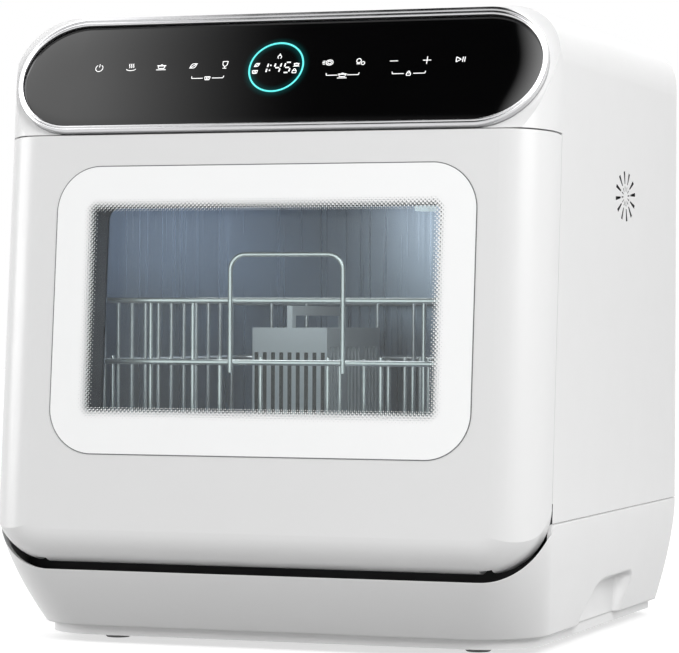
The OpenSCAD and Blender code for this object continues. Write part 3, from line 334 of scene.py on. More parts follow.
def shell_shadows(tree):
    """1 in the vent's slots, in the groove over the base and in the slit beside the door's foot."""
    height = feed(tree, "SeparateXYZ", {0: place(tree)}, out=2)
    across, up, inward = door_plane(tree)
    slit = sums(tree, "MULTIPLY", within(tree, up, *SLIT_RISE), sums(tree, "LESS_THAN", inward, SLIT_BACK))
    return sums(tree, "MAXIMUM", vent_slot_shade(tree), sums(tree, "MAXIMUM", within(tree, height, *SEAM), slit))


BASKET_COLUMNS, SLOT_LEVEL = 9, -0.1
SOLID_FOOT, SOLID_TOP = 0.010, 0.034


def basket_slot_shade(tree):
    """1 in the walls' painted slots, nearly black as shade: where cos(2 pi * columns * share across) is low, in a
    band of height.
    """
    low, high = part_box("cutlery_basket")
    spot = vector_sums(tree, "SUBTRACT", place(tree), tuple(low))
    across = feed(tree, "SeparateXYZ", {0: spot}, out=0)
    rise = feed(tree, "SeparateXYZ", {0: spot}, out=2)
    wave = sums(tree, "COSINE", sums(tree, "MULTIPLY", across, 2 * math.pi * BASKET_COLUMNS / (high.x - low.x)))
    band = within(tree, rise, SOLID_FOOT, high.z - low.z - SOLID_TOP)
    return sums(tree, "MULTIPLY", band, sums(tree, "LESS_THAN", wave, SLOT_LEVEL))


LEDGE_FRONT = -0.0188
GLASS_FIELD = {"half_width": 0.150, "low": 0.0535, "high": 0.2495, "corner": 0.030}


def glass_ledge_shade(tree):
    """1 on the ledge behind the door's front pane, painted nearly black as the shade behind it, so only the print
    shows.
    """
    across, up, inward = door_plane(tree)
    inside = sums(tree, "LESS_THAN", rounded_distance(tree, across, up, **GLASS_FIELD), 0.0)
    return sums(tree, "MULTIPLY", inside, sums(tree, "GREATER_THAN", inward, LEDGE_FRONT))


print("vent", 2 * VENT_RADIUS, "m high, seam groove at", SEAM, "m")

# %% [markdown]
# ## Plain finishes
# Two families cover most pieces. Moulded plastic and lacquered sheet have grain, clouds
# and a wandering gloss. Metal has fine lines left by the rolls or the brush, which are
# noise stretched along one axis. Rubber is dull with dusty clouds. Each family is one
# function of a colour and a few sizes, and each slot of the record is one call. An image
# could give the grain as well, but it would need its own unwrapping on every solid.

# %% Plain finishes
def moulded(name, colour, gloss, grain=0.0009, depth=0.00001, clouds=0.02, coat=0.0, painted_shade=None):
    """Clouded colour, a grain of that width and depth, and roughness within a tenth round gloss.

    Where given, the last argument paints a share from 0 to 1 of the surface nearly black, as shade in slots, gaps and
    ledges.
    """
    made, tree, shader = new_finish(name)
    where = place(tree)
    cloud = noise(tree, where, 9.0, detail=2.0)
    shade = blend_colour(tree, cloud, rgba(colour, 1 - clouds), rgba(colour, 1 + clouds))
    # Painted shade: where the given share is 1, the colour turns nearly black.
    if painted_shade:
        shade = blend_colour(tree, painted_shade(tree), shade, rgba((0.03, 0.03, 0.032)))
    colour_from(tree, shader, shade)
    wander = noise(tree, where, 38.0)
    tree.links.new(between(tree, wander, 0.3, 0.7, gloss * 0.9, gloss * 1.1), shader.inputs["Roughness"])
    tree.links.new(dents(tree, noise(tree, where, 1 / grain, detail=2.0), depth), shader.inputs["Normal"])
    constants(shader, Coat_Weight=coat, Coat_Roughness=0.22)
    return made


def rolled(name, colour, gloss, lines=(6, 6, 420), depth=0.000006, clouds=0.05, metal=1.0):
    """Metal with fine lines along the axes whose stretch is small. A lacquer makes metal less than 1."""
    made, tree, shader = new_finish(name)
    grain = noise(tree, place(tree, lines), 1.0, detail=4.0, roughness=0.6)
    cloud = noise(tree, place(tree), 7.0, detail=2.0)
    shade = sums(tree, "ADD", sums(tree, "MULTIPLY", grain, 0.5), sums(tree, "MULTIPLY", cloud, 0.5))
    colour_from(tree, shader, blend_colour(tree, shade, rgba(colour, 1 - clouds), rgba(colour, 1 + clouds)))
    tree.links.new(between(tree, grain, 0.25, 0.75, gloss * 0.75, gloss * 1.3), shader.inputs["Roughness"])
    tree.links.new(dents(tree, grain, depth), shader.inputs["Normal"])
    constants(shader, Metallic=metal)
    return made


SMOOTH = {"depth": 0.000003, "clouds": 0.006}
MOULDED = {
    "white_moulding": dict(colour=(0.76, 0.76, 0.76), gloss=0.34, coat=0.25, painted_shade=shell_shadows, **SMOOTH),
    "white_plastic": dict(colour=(0.755, 0.755, 0.755), gloss=0.32, coat=0.3, painted_shade=glass_ledge_shade, **SMOOTH),
    "light_plastic": dict(colour=(0.66, 0.66, 0.65), gloss=0.5, grain=0.0007, depth=0.00003),
    "grey_plastic": dict(colour=(0.16, 0.17, 0.18), gloss=0.45, grain=0.0006, depth=0.00003, clouds=0.08),
    "basket_grey": dict(colour=(0.50, 0.53, 0.57), gloss=0.45, grain=0.0006, depth=0.00002, clouds=0.05,
                        painted_shade=basket_slot_shade),
    # The window spacer's grey is much darker and bluer than its slot's: painted shade of the dim edge inside the
    # window.
    "spacer_shaded_grey": dict(colour=(0.055, 0.06, 0.075), gloss=0.5, grain=0.0006, depth=0.00002, clouds=0.1),
    "black_plastic": dict(colour=(0.018, 0.018, 0.02), gloss=0.42, grain=0.0006, depth=0.00003, clouds=0.15),
    "black_sheet": dict(colour=(0.016, 0.016, 0.018), gloss=0.5, grain=0.0012, depth=0.00002, clouds=0.2),
    "rubber": dict(colour=(0.03, 0.03, 0.032), gloss=0.7, grain=0.0005, depth=0.00002, clouds=0.2),
    "seal_rubber": dict(colour=(0.05, 0.055, 0.065), gloss=0.6, grain=0.0005, depth=0.00002, clouds=0.1),
    "foot_rubber": dict(colour=(0.55, 0.55, 0.55), gloss=0.6, grain=0.0005, depth=0.00002, clouds=0.08),
    "clear_tank": dict(colour=(0.62, 0.66, 0.70), gloss=0.3, grain=0.002, depth=0.00004, coat=0.3),
}
ROLLED = {
    "stainless": dict(colour=(0.31, 0.35, 0.43), gloss=0.30, lines=(300, 300, 3), depth=0.0000008, clouds=0.03),
    "steel": dict(colour=(0.45, 0.46, 0.48), gloss=0.34, lines=(5, 160, 420)),
    "trim_metal": dict(colour=(0.60, 0.60, 0.61), gloss=0.14, lines=(30, 30, 30), depth=0.0000003, clouds=0.01),
    "rack_wire": dict(colour=(0.93, 0.94, 0.96), gloss=0.2, lines=(60, 60, 60), depth=0.000001, clouds=0.02,
                      metal=0.7),
}
finishes = {name: moulded(name, **values) for name, values in MOULDED.items()}
finishes.update({name: rolled(name, **values) for name, values in ROLLED.items()})
print("plain finishes:", ", ".join(sorted(finishes)))

# %% [markdown]
# ## Clear glass and the printed window
# Thin panes are cheap to draw as a mix: most light goes straight through a Transparent
# shader, and a Fresnel share is mirrored by a Glossy one. Light then reaches the tub, which
# glass with real refraction would keep dark.
#
# The front pane is printed white on its back outside the window. Round the window the print
# breaks up into a halftone, whose dots shrink over a few millimetres. The print is a sum on
# the pane's own plane: the distance to a rounded rectangle gives the share that should be
# covered, and a chequered wave, compared with that share, gives the dots. The same distance
# paints a thin grey line along the pane's rim, as the shade in the gap round the pane.

# %% Glass finishes
PANE_IOR = 1.3


def pane(tree, tint, gloss=0.02):
    """Mostly transparent, with a Fresnel share mirrored. An index under real glass's keeps the tub clear."""
    mirror = feed(tree, "BsdfGlossy", {"Color": (1, 1, 1, 1), "Roughness": gloss})
    through = feed(tree, "BsdfTransparent", {"Color": rgba(tint)})
    share = feed(tree, "Fresnel", {"IOR": PANE_IOR})
    return feed(tree, "MixShader", {0: share, 1: through, 2: mirror})


def surface_from(tree, surface):
    """Links a finished shader to the material's output."""
    tree.links.new(surface, tree.nodes["Material Output"].inputs["Surface"])


WINDOW = {"half_width": 0.1312, "low": 0.0762, "high": 0.2288, "corner": 0.010}
DOT_PITCH = 0.0029
DOT_BAND = 0.0092
PANE = {"half_width": 0.1523, "low": 0.0518, "high": 0.2514, "corner": 0.032}
GAP_SHADE_WIDTH = 0.0006


def printed_glass():
    """White print, halftone dots over DOT_BAND inside the window's edge, then clear glass."""
    made, tree, shader = new_finish("printed_glass")
    across, up, inward = door_plane(tree)
    edge = rounded_distance(tree, across, up, **WINDOW)
    covered = between(tree, edge, -DOT_BAND, 0.0, 0.0, 1.02)
    turns = 2 * math.pi / DOT_PITCH
    waves = [sums(tree, "COSINE", sums(tree, "MULTIPLY", way, turns)) for way in (across, up)]
    chequer = sums(tree, "MULTIPLY_ADD", sums(tree, "MULTIPLY", *waves), 0.5, 0.5)
    dots = between(tree, sums(tree, "SUBTRACT", covered, chequer), -0.02, 0.02)
    constants(shader, Roughness=0.1, Coat_Weight=0.6, Coat_Roughness=0.02)
    cloud = noise(tree, place(tree), 6.0, detail=1.0)
    white = blend_colour(tree, cloud, rgba((0.94, 0.945, 0.945)), rgba((0.95, 0.955, 0.955)))
    # Painted shade: a thin grey line along the pane's edge stands for the shadow in the gap round the pane.
    rim = sums(tree, "GREATER_THAN", rounded_distance(tree, across, up, **PANE), -GAP_SHADE_WIDTH)
    colour_from(tree, shader, blend_colour(tree, rim, white, rgba((0.16, 0.165, 0.17))))
    clear = pane(tree, (0.965, 0.985, 0.985))
    surface_from(tree, feed(tree, "MixShader", {0: dots, 1: clear, 2: shader.outputs[0]}))
    return made


def clear_glass():
    """The inner pane, very slightly green, with faint water marks in its gloss."""
    made, tree, shader = new_finish("clear_glass")
    tree.nodes.remove(shader)
    marks = between(tree, noise(tree, place(tree), 60.0), 0.45, 0.8, 0.02, 0.09)
    surface_from(tree, pane(tree, (0.96, 0.985, 0.98), gloss=marks))
    return made


finishes["printed_glass"] = printed_glass()
finishes["clear_glass"] = clear_glass()
print("window:", WINDOW)

# %% [markdown]
# ## The lit panel
# The control panel is glass, printed black on its back. A thin ring is lit from behind and
# its light spreads a little in the glass, so the black round it turns teal. The glow is a
# sum as well: it falls off with the distance from the ring's circle.

# %% Lit finishes
ring_low, ring_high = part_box("display_ring")
RING_RADIUS = (ring_high.x - ring_low.x) / 2 - 0.0006
RING_MIDDLE = (ring_low + ring_high) / 2
CYAN = (0.13, 0.93, 0.90)
GLOW_REACH, GLOW_POWER, GLOW_STRENGTH = 0.0055, 1.8, 0.1


def off_ring(tree):
    """Distance from the ring's circle, on the panel's plane."""
    from_middle = vector_sums(tree, "SUBTRACT", feed(tree, "TexCoord", out=3), tuple(RING_MIDDLE))
    radius = vector_sums(tree, "LENGTH", from_middle, out=1)
    return sums(tree, "ABSOLUTE", sums(tree, "SUBTRACT", radius, RING_RADIUS))


def black_glass():
    """Glossy black with a glow of strength * (1 - distance / reach) to a power round the ring."""
    made, tree, shader = new_finish("black_glass")
    cloud = noise(tree, place(tree), 14.0, detail=2.0)
    black, grey = rgba((0.0008, 0.0008, 0.0009)), rgba((0.0014, 0.0014, 0.0016))
    colour_from(tree, shader, blend_colour(tree, cloud, black, grey))
    constants(shader, Roughness=0.06, Specular_IOR_Level=0.5)
    glow = sums(tree, "POWER", between(tree, off_ring(tree), 0.0, GLOW_REACH, 1.0, 0.0), GLOW_POWER)
    constants(shader, Emission_Color=rgba((0.02, 0.50, 0.50)))
    tree.links.new(sums(tree, "MULTIPLY", glow, GLOW_STRENGTH), shader.inputs["Emission Strength"])
    return made


def lit(name, colour, strength, flicker=0.12):
    """A lit piece whose light is a little uneven, as behind a diffuser."""
    made, tree, shader = new_finish(name)
    uneven = noise(tree, place(tree), 120.0, detail=1.0)
    power = between(tree, uneven, 0.3, 0.7, strength * (1 - flicker), strength)
    tree.links.new(power, shader.inputs["Emission Strength"])
    constants(shader, Emission_Color=rgba(colour), Base_Color=rgba(colour, 0.5), Roughness=0.4)
    return made


finishes["black_glass"] = black_glass()
finishes["lit_ring"] = lit("lit_ring", CYAN, 0.62)
finishes["display"] = lit("display", (0.02, 0.02, 0.022), 0.05)
finishes["sign_white"] = lit("sign_white", (1.0, 1.0, 1.0), 0.95)
finishes["lamp"] = lit("lamp", (0.80, 0.88, 0.95), 0.75)
print("ring radius", round(RING_RADIUS, 4), "middle", [round(part, 4) for part in RING_MIDDLE])

# %% [markdown]
# ## Circuit boards
# The boards are hidden behind the panel and over the tub, but a view with the door open or
# a cut shows them. Their lacquer is green, with copper tracks that a brick pattern draws.

# %% Board finish
def board():
    """Green lacquer over a brick pattern of tracks."""
    made, tree, shader = new_finish("board")
    tracks = feed(tree, "TexBrick", {
        "Vector": place(tree), "Scale": 110.0, "Mortar Size": 0.03,
        "Color1": rgba((0.012, 0.09, 0.035)), "Color2": rgba((0.016, 0.11, 0.045)),
        "Mortar": rgba((0.03, 0.17, 0.07)),
    })
    colour_from(tree, shader, tracks)
    wander = noise(tree, place(tree), 200.0)
    tree.links.new(between(tree, wander, 0.3, 0.7, 0.25, 0.4), shader.inputs["Roughness"])
    return made


finishes["board"] = board()
print("finishes in all:", len(finishes))

# %% [markdown]
# ## Every solid gets its finish
# The record names a slot for every node. Its solids keep their meshes, and only the
# material in each mesh slot is changed. Three nodes have a shade of their own. The window
# spacer's is much darker than the grey plastic of its slot, which paints the shade inside the window.

# %% Dress the solids
slot_of = {row["node"]: row["material_slot"] for row in frame["record"]["subparts"]}
shade_of = {"cutlery_basket": "basket_grey", "window_spacer": "spacer_shaded_grey", "plinth_tray": "white_moulding"}
for node, solid in frame["nodes"].items():
    for material_slot in solid.material_slots:
        material_slot.material = finishes[shade_of.get(node, slot_of[node])]
print("dressed", len(slot_of), "nodes")

# %% [markdown]
# ## The panel's outline
# The control panel is a stadium: two half circles joined by straight sides. Its glass and
# the bright bead round it both follow this one outline, so it is worked out once, as points
# and the outward direction at each. The bead is widest at the top, so its width is a sum of
# that direction. A curve with a bevel would give a bead as well, but of one width all round.

# %% Panel outline
PANEL_HALF = trim_high.x
END_RADIUS = PANEL_LENGTH / 2
RIM_SIDE, RIM_LOW, RIM_HIGH = 0.0036, 0.0046, 0.0066


def stadium_ring(count_end=72, count_side=40):
    """Points (x, z) and outward directions: middle + radius * (cos, sin) at both ends, joined by straight sides."""
    half = PANEL_HALF - END_RADIUS
    turn = np.linspace(-np.pi / 2, np.pi / 2, count_end)
    run = np.linspace(-half, half, count_side + 2)[1:-1]
    right = np.stack([half + END_RADIUS * np.cos(turn), END_RADIUS + END_RADIUS * np.sin(turn)], -1)
    top = np.stack([run[::-1], np.full(count_side, 2 * END_RADIUS)], -1)
    points = np.concatenate([right, top, right * (-1, -1) + (0, 2 * END_RADIUS), top * (-1, 0)])
    facing = np.stack([np.cos(turn), np.sin(turn)], -1)
    up = np.tile((0.0, 1.0), (count_side, 1))
    return points, np.concatenate([facing, up, -facing, -up])


outline, facing = stadium_ring()
rim_width = RIM_SIDE * facing[:, :1] ** 2 + np.where(facing[:, 1:] > 0, RIM_HIGH, RIM_LOW) * facing[:, 1:] ** 2
print("outline points:", len(outline), "rim", rim_width.min().round(4), "to", rim_width.max().round(4))

# %% [markdown]
# ## The bead
# On the real panel this is a moulded and metallised frame: a rounded rib outside, a fine
# groove and a second rib against the glass. It is one closed profile carried round the
# outline, and its shares of the width are stretched to the rim's width at each point. The
# plain solid bead that it stands for has the same outline and back.

# %% Bead round the glass
BEAD_PROFILE = np.array([
    (0.0, 5.9), (0.0, 3.6), (0.0, 1.5), (0.05, 0.85), (0.14, 0.35), (0.27, 0.10), (0.40, 0.06), (0.49, 0.22),
    (0.54, 0.62), (0.58, 0.62), (0.63, 0.26), (0.72, 0.04), (0.84, 0.05), (0.94, 0.28), (1.0, 0.75), (1.0, 2.6),
    (0.9, 3.0), (0.5, 5.9),
])


def carried_bead():
    """Point = outline - outward * rim width * share, at its own depth; the profile holds (share, depth in mm)."""
    share, depth = BEAD_PROFILE[:, 0], BEAD_PROFILE[:, 1] / 1000
    flat = outline[:, None] - facing[:, None] * (rim_width[:, None] * share[None, :, None])
    deep = np.broadcast_to(depth[None, :, None], flat.shape[:2] + (1,))
    points = np.concatenate([flat[..., :1], deep, flat[..., 1:]], -1)
    quads = grid_quads(len(outline), len(share), wrap_rows=True, wrap_columns=True)
    return on_panel(points), quads


bead_points, bead_quads = carried_bead()
bead = make_piece("panel_bead", bead_points, bead_quads, "cabinet", finishes["trim_metal"])
merged(bead)
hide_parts("control_trim")
print("bead quads:", len(bead_quads))

# %% [markdown]
# ## The rolled glass
# The margin of the real pane is ground and rolls off, so it catches light that the flat
# middle doesn't see. A plain slab would look dead. The pane is made of rings that shrink from
# its edge to the straight line between the middles of its two ends, first on the front and
# then on the back. Each ring's depth is a sum of its distance from the edge. A bevel
# modifier would give a margin too, but only a circular one.

# %% Rolled glass
GLASS_TOP, GLASS_BACK = 0.0006, 0.0034
ROLL_WIDTH, ROLL_DROP, ROLL_POWER = 0.034, 0.0024, 2.6


def rolled_glass(rings=34):
    """Depth = top + drop * (1 - distance from the edge / width) to a power, and flat beyond that width."""
    half = PANEL_HALF - END_RADIUS
    edge = outline - facing * rim_width
    spine = np.stack([np.clip(edge[:, 0], -half, half), np.full(len(edge), END_RADIUS)], -1)
    share = (np.linspace(0, 1, rings) ** 1.5)[:, None, None]
    flat = edge[None] + (spine - edge)[None] * share
    inward = np.linalg.norm(flat - edge[None], axis=-1)
    depth = GLASS_TOP + ROLL_DROP * np.clip(1 - inward / ROLL_WIDTH, 0, 1) ** ROLL_POWER
    front = np.stack([flat[..., 0], depth, flat[..., 1]], -1)
    back = front[::-1] * (1, 0, 1) + (0, GLASS_BACK, 0)
    return on_panel(np.concatenate([front[::-1], back[::-1]])).reshape(-1, 3), len(edge)


glass_points, glass_around = rolled_glass()
glass_quads = grid_quads(len(glass_points) // glass_around, glass_around, wrap_columns=True)
glass = make_piece("panel_glass", glass_points, glass_quads, "cabinet", finishes["black_glass"])
merged(glass)
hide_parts("control_glass")
print("glass faces:", len(glass.data.polygons))

# %% [markdown]
# ## The base's smooth skin
# The base narrows towards the floor on a curve and has a carrying grip pressed into each
# side. The solid beneath is made of short flat steps, which show in a raking light. A skin
# a fifth of a millimetre proud of it is worked out from the same curve, so it is smooth. A
# subdivided cage could do this too, but its corners would drift off the solid. Here is the
# outline that the skin has at a height, and the edge where the door's mouth cuts it off.

# %% The base's outline at a height
SEAM_HEIGHT, BASE_TALL, BASE_LOW, BASE_HIGH = 0.091, 0.0785, 0.0126, 0.0909
SIDE, SIDE_FLARE = 0.2, 0.0155
FRONT, FRONT_FLARE = -0.2175, 0.0375
CORNER, CORNER_GROWTH = 0.034, 0.014
MOUTH_LOW, MOUTH_BACK, MOUTH_HALF, MOUTH_CORNER = 0.053, -0.1828, 0.202, 0.046
REAR, REAR_CORNER, REAR_END = 0.193, 0.024, 0.163


def flare(height):
    """((seam - height) / base height) to the power 1.6: 0 at the seam and 1 at the bottom."""
    return (np.clip(SEAM_HEIGHT - height, 0, None) / BASE_TALL) ** 1.6


def base_rail(height, run):
    """A point and its outward direction on the right half of the outline at a height.

    run goes 0..1 along the front to the corner, 1..2 round the corner, 2..3 along the side, 3..4 round the
    rear corner and 4..5 along the back to REAR_END.
    """
    sink = flare(height)
    side, front = SIDE - SIDE_FLARE * sink, FRONT + FRONT_FLARE * sink
    corner = CORNER + CORNER_GROWTH * (SEAM_HEIGHT - height) / BASE_TALL
    turn = (np.clip(run - 1, 0, 1) - 1) * np.pi / 2
    back_turn = np.clip(run - 3, 0, 1) * np.pi / 2
    x = np.where(run < 1, run * (side - corner), side - corner + corner * np.cos(turn))
    y = front + corner + corner * np.sin(turn)
    along = np.clip(run - 2, 0, 1)
    y = y + along * (REAR - REAR_CORNER - front - corner) + REAR_CORNER * np.sin(back_turn)
    x = x - REAR_CORNER * (1 - np.cos(back_turn)) - np.clip(run - 4, 0, 1) * (side - REAR_CORNER - REAR_END)
    facing = np.where(run < 3, turn, back_turn)
    return x, y, np.cos(facing), np.sin(facing)


def mouth_edge(x, y):
    """Height where the door's mouth cuts the base: flat, then a quarter circle up to the sides."""
    into = np.clip(np.abs(x) - (MOUTH_HALF - MOUTH_CORNER), 0, MOUTH_CORNER)
    edge = MOUTH_LOW + MOUTH_CORNER - np.sqrt(MOUTH_CORNER ** 2 - into ** 2)
    return np.where(y < MOUTH_BACK, np.minimum(edge, BASE_HIGH), BASE_HIGH)


print("base narrows by", (1000 * SIDE_FLARE * flare(np.array([0.07, 0.05, 0.03]))).round(1), "mm a side")

# %% [markdown]
# ## The grips and the skin
# A carrying grip is a pocket in the side's lower edge: from its front end a long ramp leads
# in, its rear wall is short, and its top is rounded. It could be cut with a boolean, which
# leaves hard edges. Here its depth is a share from 0 to 1, a product of three soft steps,
# and the skin's points sink by it towards the pocket's floor. The skin is a grid of columns
# that climb from the foot to the seam, closer together at the grip.

# %% Grip and skin
GRIP_LEFT = np.array([(12, -62), (18, -60), (30, -49), (38, -39), (42, -30), (44, -16), (60, -16)]) / 1000
GRIP_RIGHT = np.array([(12, 62), (30, 66), (39, 67.5), (41, 66), (43, 62), (44, 56), (60, 56)]) / 1000
GRIP_TOP, GRIP_FLOOR = 0.0440, 0.1802
GRIP_RAMP, GRIP_WALL, GRIP_ROUND = 0.026, 0.007, 0.006
SKIN_STAND, SKIN_WALL = 0.0002, 0.00014


def soft_step(value):
    """0 below 0, 1 above 1, and 3v^2 - 2v^3 between."""
    value = np.clip(value, 0, 1)
    return value * value * (3 - 2 * value)


def grip_share(y, height):
    """The product of soft steps over the ramp at the front, the wall at the rear and the rounded top."""
    ramp = soft_step((y - np.interp(height, *GRIP_LEFT.T)) / GRIP_RAMP)
    wall = soft_step((np.interp(height, *GRIP_RIGHT.T) - y) / GRIP_WALL)
    return ramp * wall * soft_step((GRIP_TOP - height) / GRIP_ROUND)


def base_half(rows=64):
    """Height = foot + (top - foot) * row share; the point is the outline's, pushed out, and sunk at the grip.

    The columns stand on stretches (start, end, points) of the run and are closest at the grip. The top
    depends on where the outline is at that height, so it is worked out again until it settles.
    """
    runs = [(0, 1, 40), (1, 2, 40), (2, 2.26, 12), (2.27, 2.70, 130), (2.71, 3, 14), (3, 4, 18), (4.5, 5, 2)]
    keeps_end = (False, False, True, True, False, True, True)
    run = np.concatenate([np.linspace(*ends)[:None if keep else -1] for ends, keep in zip(runs, keeps_end)])
    top = np.full(len(run), MOUTH_LOW)
    for settle in range(12):
        x, y, _, _ = base_rail(top, run)
        top = mouth_edge(x, y)
    height = BASE_LOW + (top - BASE_LOW)[None] * np.linspace(0, 1, rows)[:, None]
    x, y, out_x, out_y = base_rail(height, run[None] + 0 * height)
    stand = np.minimum(SKIN_STAND, 0.8 * SIDE_FLARE * flare(height))
    x, y = x + out_x * stand, y + out_y * stand
    deep = grip_share(y, height) * (run[None] > 2) * (run[None] < 3)
    return np.stack([x - deep * (x - GRIP_FLOOR), y, height], -1)


half_skin = base_half()
both_halves = np.concatenate([half_skin[:, :0:-1] * (-1, 1, 1), half_skin], axis=1)
skin_quads = grid_quads(*both_halves.shape[:2])[:, ::-1]
skin = make_piece("base_skin", both_halves, skin_quads, "cabinet", finishes["white_moulding"])
skin.modifiers.new("wall", "SOLIDIFY").thickness = SKIN_WALL
outward, middle = np.empty((2, len(skin.data.polygons) * 3))
skin.data.polygons.foreach_get("normal", outward)
skin.data.polygons.foreach_get("center", middle)
outward, middle = outward.reshape(-1, 3)[:, :2], middle.reshape(-1, 3)[:, :2]
print("base skin:", both_halves.shape[:2], "share facing outwards", np.mean((outward * middle).sum(1) > 0).round(3))

# %% [markdown]
# ## Printed and lit signs
# The touch keys are thin white line drawings under the glass: a switch, a steaming cup, a
# pot, a leaf, a glass, a plate, cups, minus, plus and start. Three brackets tie pairs of
# keys to a basket, a pot and a lock. Inside the ring a clock shows slanted digits made of
# straight bars. A sign could be a texture, but a drawn line stays sharp and is real
# geometry: each stroke is a path, and a ribbon of constant width is carried along it.

# %% Stroke helpers
def arc(middle, radii, start, stop, count=20):
    """Points middle + (rx * cos turn, rz * sin turn) for turns from start to stop, in degrees."""
    turn = np.radians(np.linspace(start, stop, count))
    return np.stack([middle[0] + radii[0] * np.cos(turn), middle[1] + radii[1] * np.sin(turn)], -1)


def wave(x, low, high, swing=0.35, count=12):
    """An upright line that swings once to each side."""
    rise = np.linspace(low, high, count)
    return np.stack([x + swing * np.sin(2 * np.pi * (rise - low) / (high - low)), rise], -1)


def ribbon(path, width):
    """Two points for each path point, half a width to its right and left across the path's direction."""
    path = np.asarray(path, float)
    along = np.gradient(path, axis=0)
    along /= np.linalg.norm(along, axis=1, keepdims=True)
    left = np.stack([-along[:, 1], along[:, 0]], -1) * width / 2
    return np.stack([path - left, path + left], 1).reshape(-1, 2), grid_quads(len(path), 2)


def dense(corners, count=4):
    """Straight runs between corners, each cut into count parts, as one path per run."""
    corners = np.asarray(corners, float)
    share = np.linspace(0, 1, count)[:, None]
    return [first + (second - first) * share for first, second in zip(corners[:-1], corners[1:])]


def leaf(turn=35.0):
    """Two bows y = 1.7 * sin(pi t) above and below a vein, turned."""
    share = np.linspace(0, 1, 14)
    bow = np.stack([5.6 * share - 2.8, 1.7 * np.sin(np.pi * share)], -1)
    cos, sin = math.cos(math.radians(turn)), math.sin(math.radians(turn))
    spin = np.array([[cos, sin], [-sin, cos]])
    return [bow @ spin, (bow * (1, -1)) @ spin, (bow * (1.2, 0)) @ spin]


SIGNS = {
    "switch": [arc((0, 0), (2.7, 2.7), 122, 418)] + dense([(0, 0.7), (0, 3.3)]),
    "steam": [arc((0, -0.9), (3.7, 1.7), 195, 345)] + [wave(x, -0.4, 3.0) for x in (-1.5, 0, 1.5)],
    "pot": dense([(-2.6, 0.6), (-2.1, -1.4), (2.1, -1.4), (2.6, 0.6), (-2.6, 0.6)])
    + dense([(-3.6, -2.5), (3.6, -2.5)]) + dense([(-0.7, 1.6), (0.7, 1.6)]) + dense([(-3.4, 0.9), (3.4, 0.9)]),
    "leaf": leaf(),
    "glass": [arc((0, 1.4), (1.7, 2.3), 180, 360)] + dense([(-1.7, 1.4), (-1.9, 3.0), (1.9, 3.0), (1.7, 1.4)])
    + dense([(0, -0.9), (0, -2.5)]) + dense([(-1.4, -2.5), (1.4, -2.5)]),
    "basket": dense([(-2.1, 1.2), (-1.6, -1.4), (1.6, -1.4), (2.1, 1.2), (-2.1, 1.2)])
    + dense([(-0.5, -1.4), (-0.6, 1.2)]) + dense([(0.5, -1.4), (0.6, 1.2)]),
    "plate": [arc((1.1, 0), (2.5, 2.1), 0, 360, 28), arc((1.1, 0), (1.3, 1.1), 0, 360, 20)]
    + dense([(-3.6, 1.2), (-2.0, 1.2)]) + dense([(-4.3, 0), (-2.2, 0)]) + dense([(-3.6, -1.2), (-2.0, -1.2)]),
    "cups": [arc((-1.2, 0.9), (1.6, 1.7), 0, 360), arc((2.0, -1.1), (1.2, 1.2), 0, 360)]
    + dense([(-2.6, -1.6), (0.2, -1.6)]),
    "minus": dense([(-2.9, 0), (2.9, 0)]),
    "plus": dense([(-2.9, 0), (2.9, 0)]) + dense([(0, -2.9), (0, 2.9)]),
    "lock": dense([(-1.5, -1.6), (1.5, -1.6), (1.5, 0.4), (-1.5, 0.4), (-1.5, -1.6)])
    + [arc((0, 0.4), (1.0, 1.5), 0, 180)],
    "start": dense([(-2.9, 2.0), (-2.9, -2.0), (0.5, 0), (-2.9, 2.0)]) + dense([(1.7, -2.0), (1.7, 2.0)])
    + dense([(3.1, -2.0), (3.1, 2.0)]),
    "drop": [arc((0, -0.5), (1.2, 1.2), -60, 240)] + dense([(-0.6, 0.5), (0, 1.9), (0.6, 0.5)]),
}
KEY_ROW = {"switch": -132.8, "steam": -108.4, "pot": -85.6, "leaf": -61.7, "glass": -38.2,
           "plate": 37.4, "cups": 60.8, "minus": 84.8, "plus": 108.4, "start": 132.0}
BRACKETS = {"basket": -49.4, "pot": 49.4, "lock": 96.8}
print("signs:", ", ".join(SIGNS))

# %% [markdown]
# The digits use six of the usual seven bars, named here by their two ends on a grid two
# high and one wide. A shear makes them lean.

# %% Digits and sign pieces
BARS = {"top": ((0, 2), (1, 2)), "upper_left": ((0, 2), (0, 1)), "upper_right": ((1, 2), (1, 1)),
        "middle": ((0, 1), (1, 1)), "lower_right": ((1, 1), (1, 0)), "bottom": ((0, 0), (1, 0))}
DIGITS = {1: ["upper_right", "lower_right"], 4: ["upper_left", "middle", "upper_right", "lower_right"],
          5: ["top", "upper_left", "middle", "lower_right", "bottom"]}
DIGIT_WIDTH, DIGIT_HALF, DIGIT_GAP, DIGIT_SHEAR = 4.3, 4.1, 0.75, 0.12


def digit(number, x, z):
    """The bars of a digit round (x, z) in millimetres, each cut short at both ends and sheared by its height."""
    strokes = []
    for bar in DIGITS[number]:
        first, second = np.array(BARS[bar], float) * (DIGIT_WIDTH, DIGIT_HALF) - (DIGIT_WIDTH / 2, DIGIT_HALF)
        step = (second - first) / np.linalg.norm(second - first) * DIGIT_GAP
        ends = np.array([first + step, second - step])
        ends[:, 0] += ends[:, 1] * DIGIT_SHEAR
        strokes += dense(ends + (x, z))
    return strokes


SIGN_LIFT = 0.00008


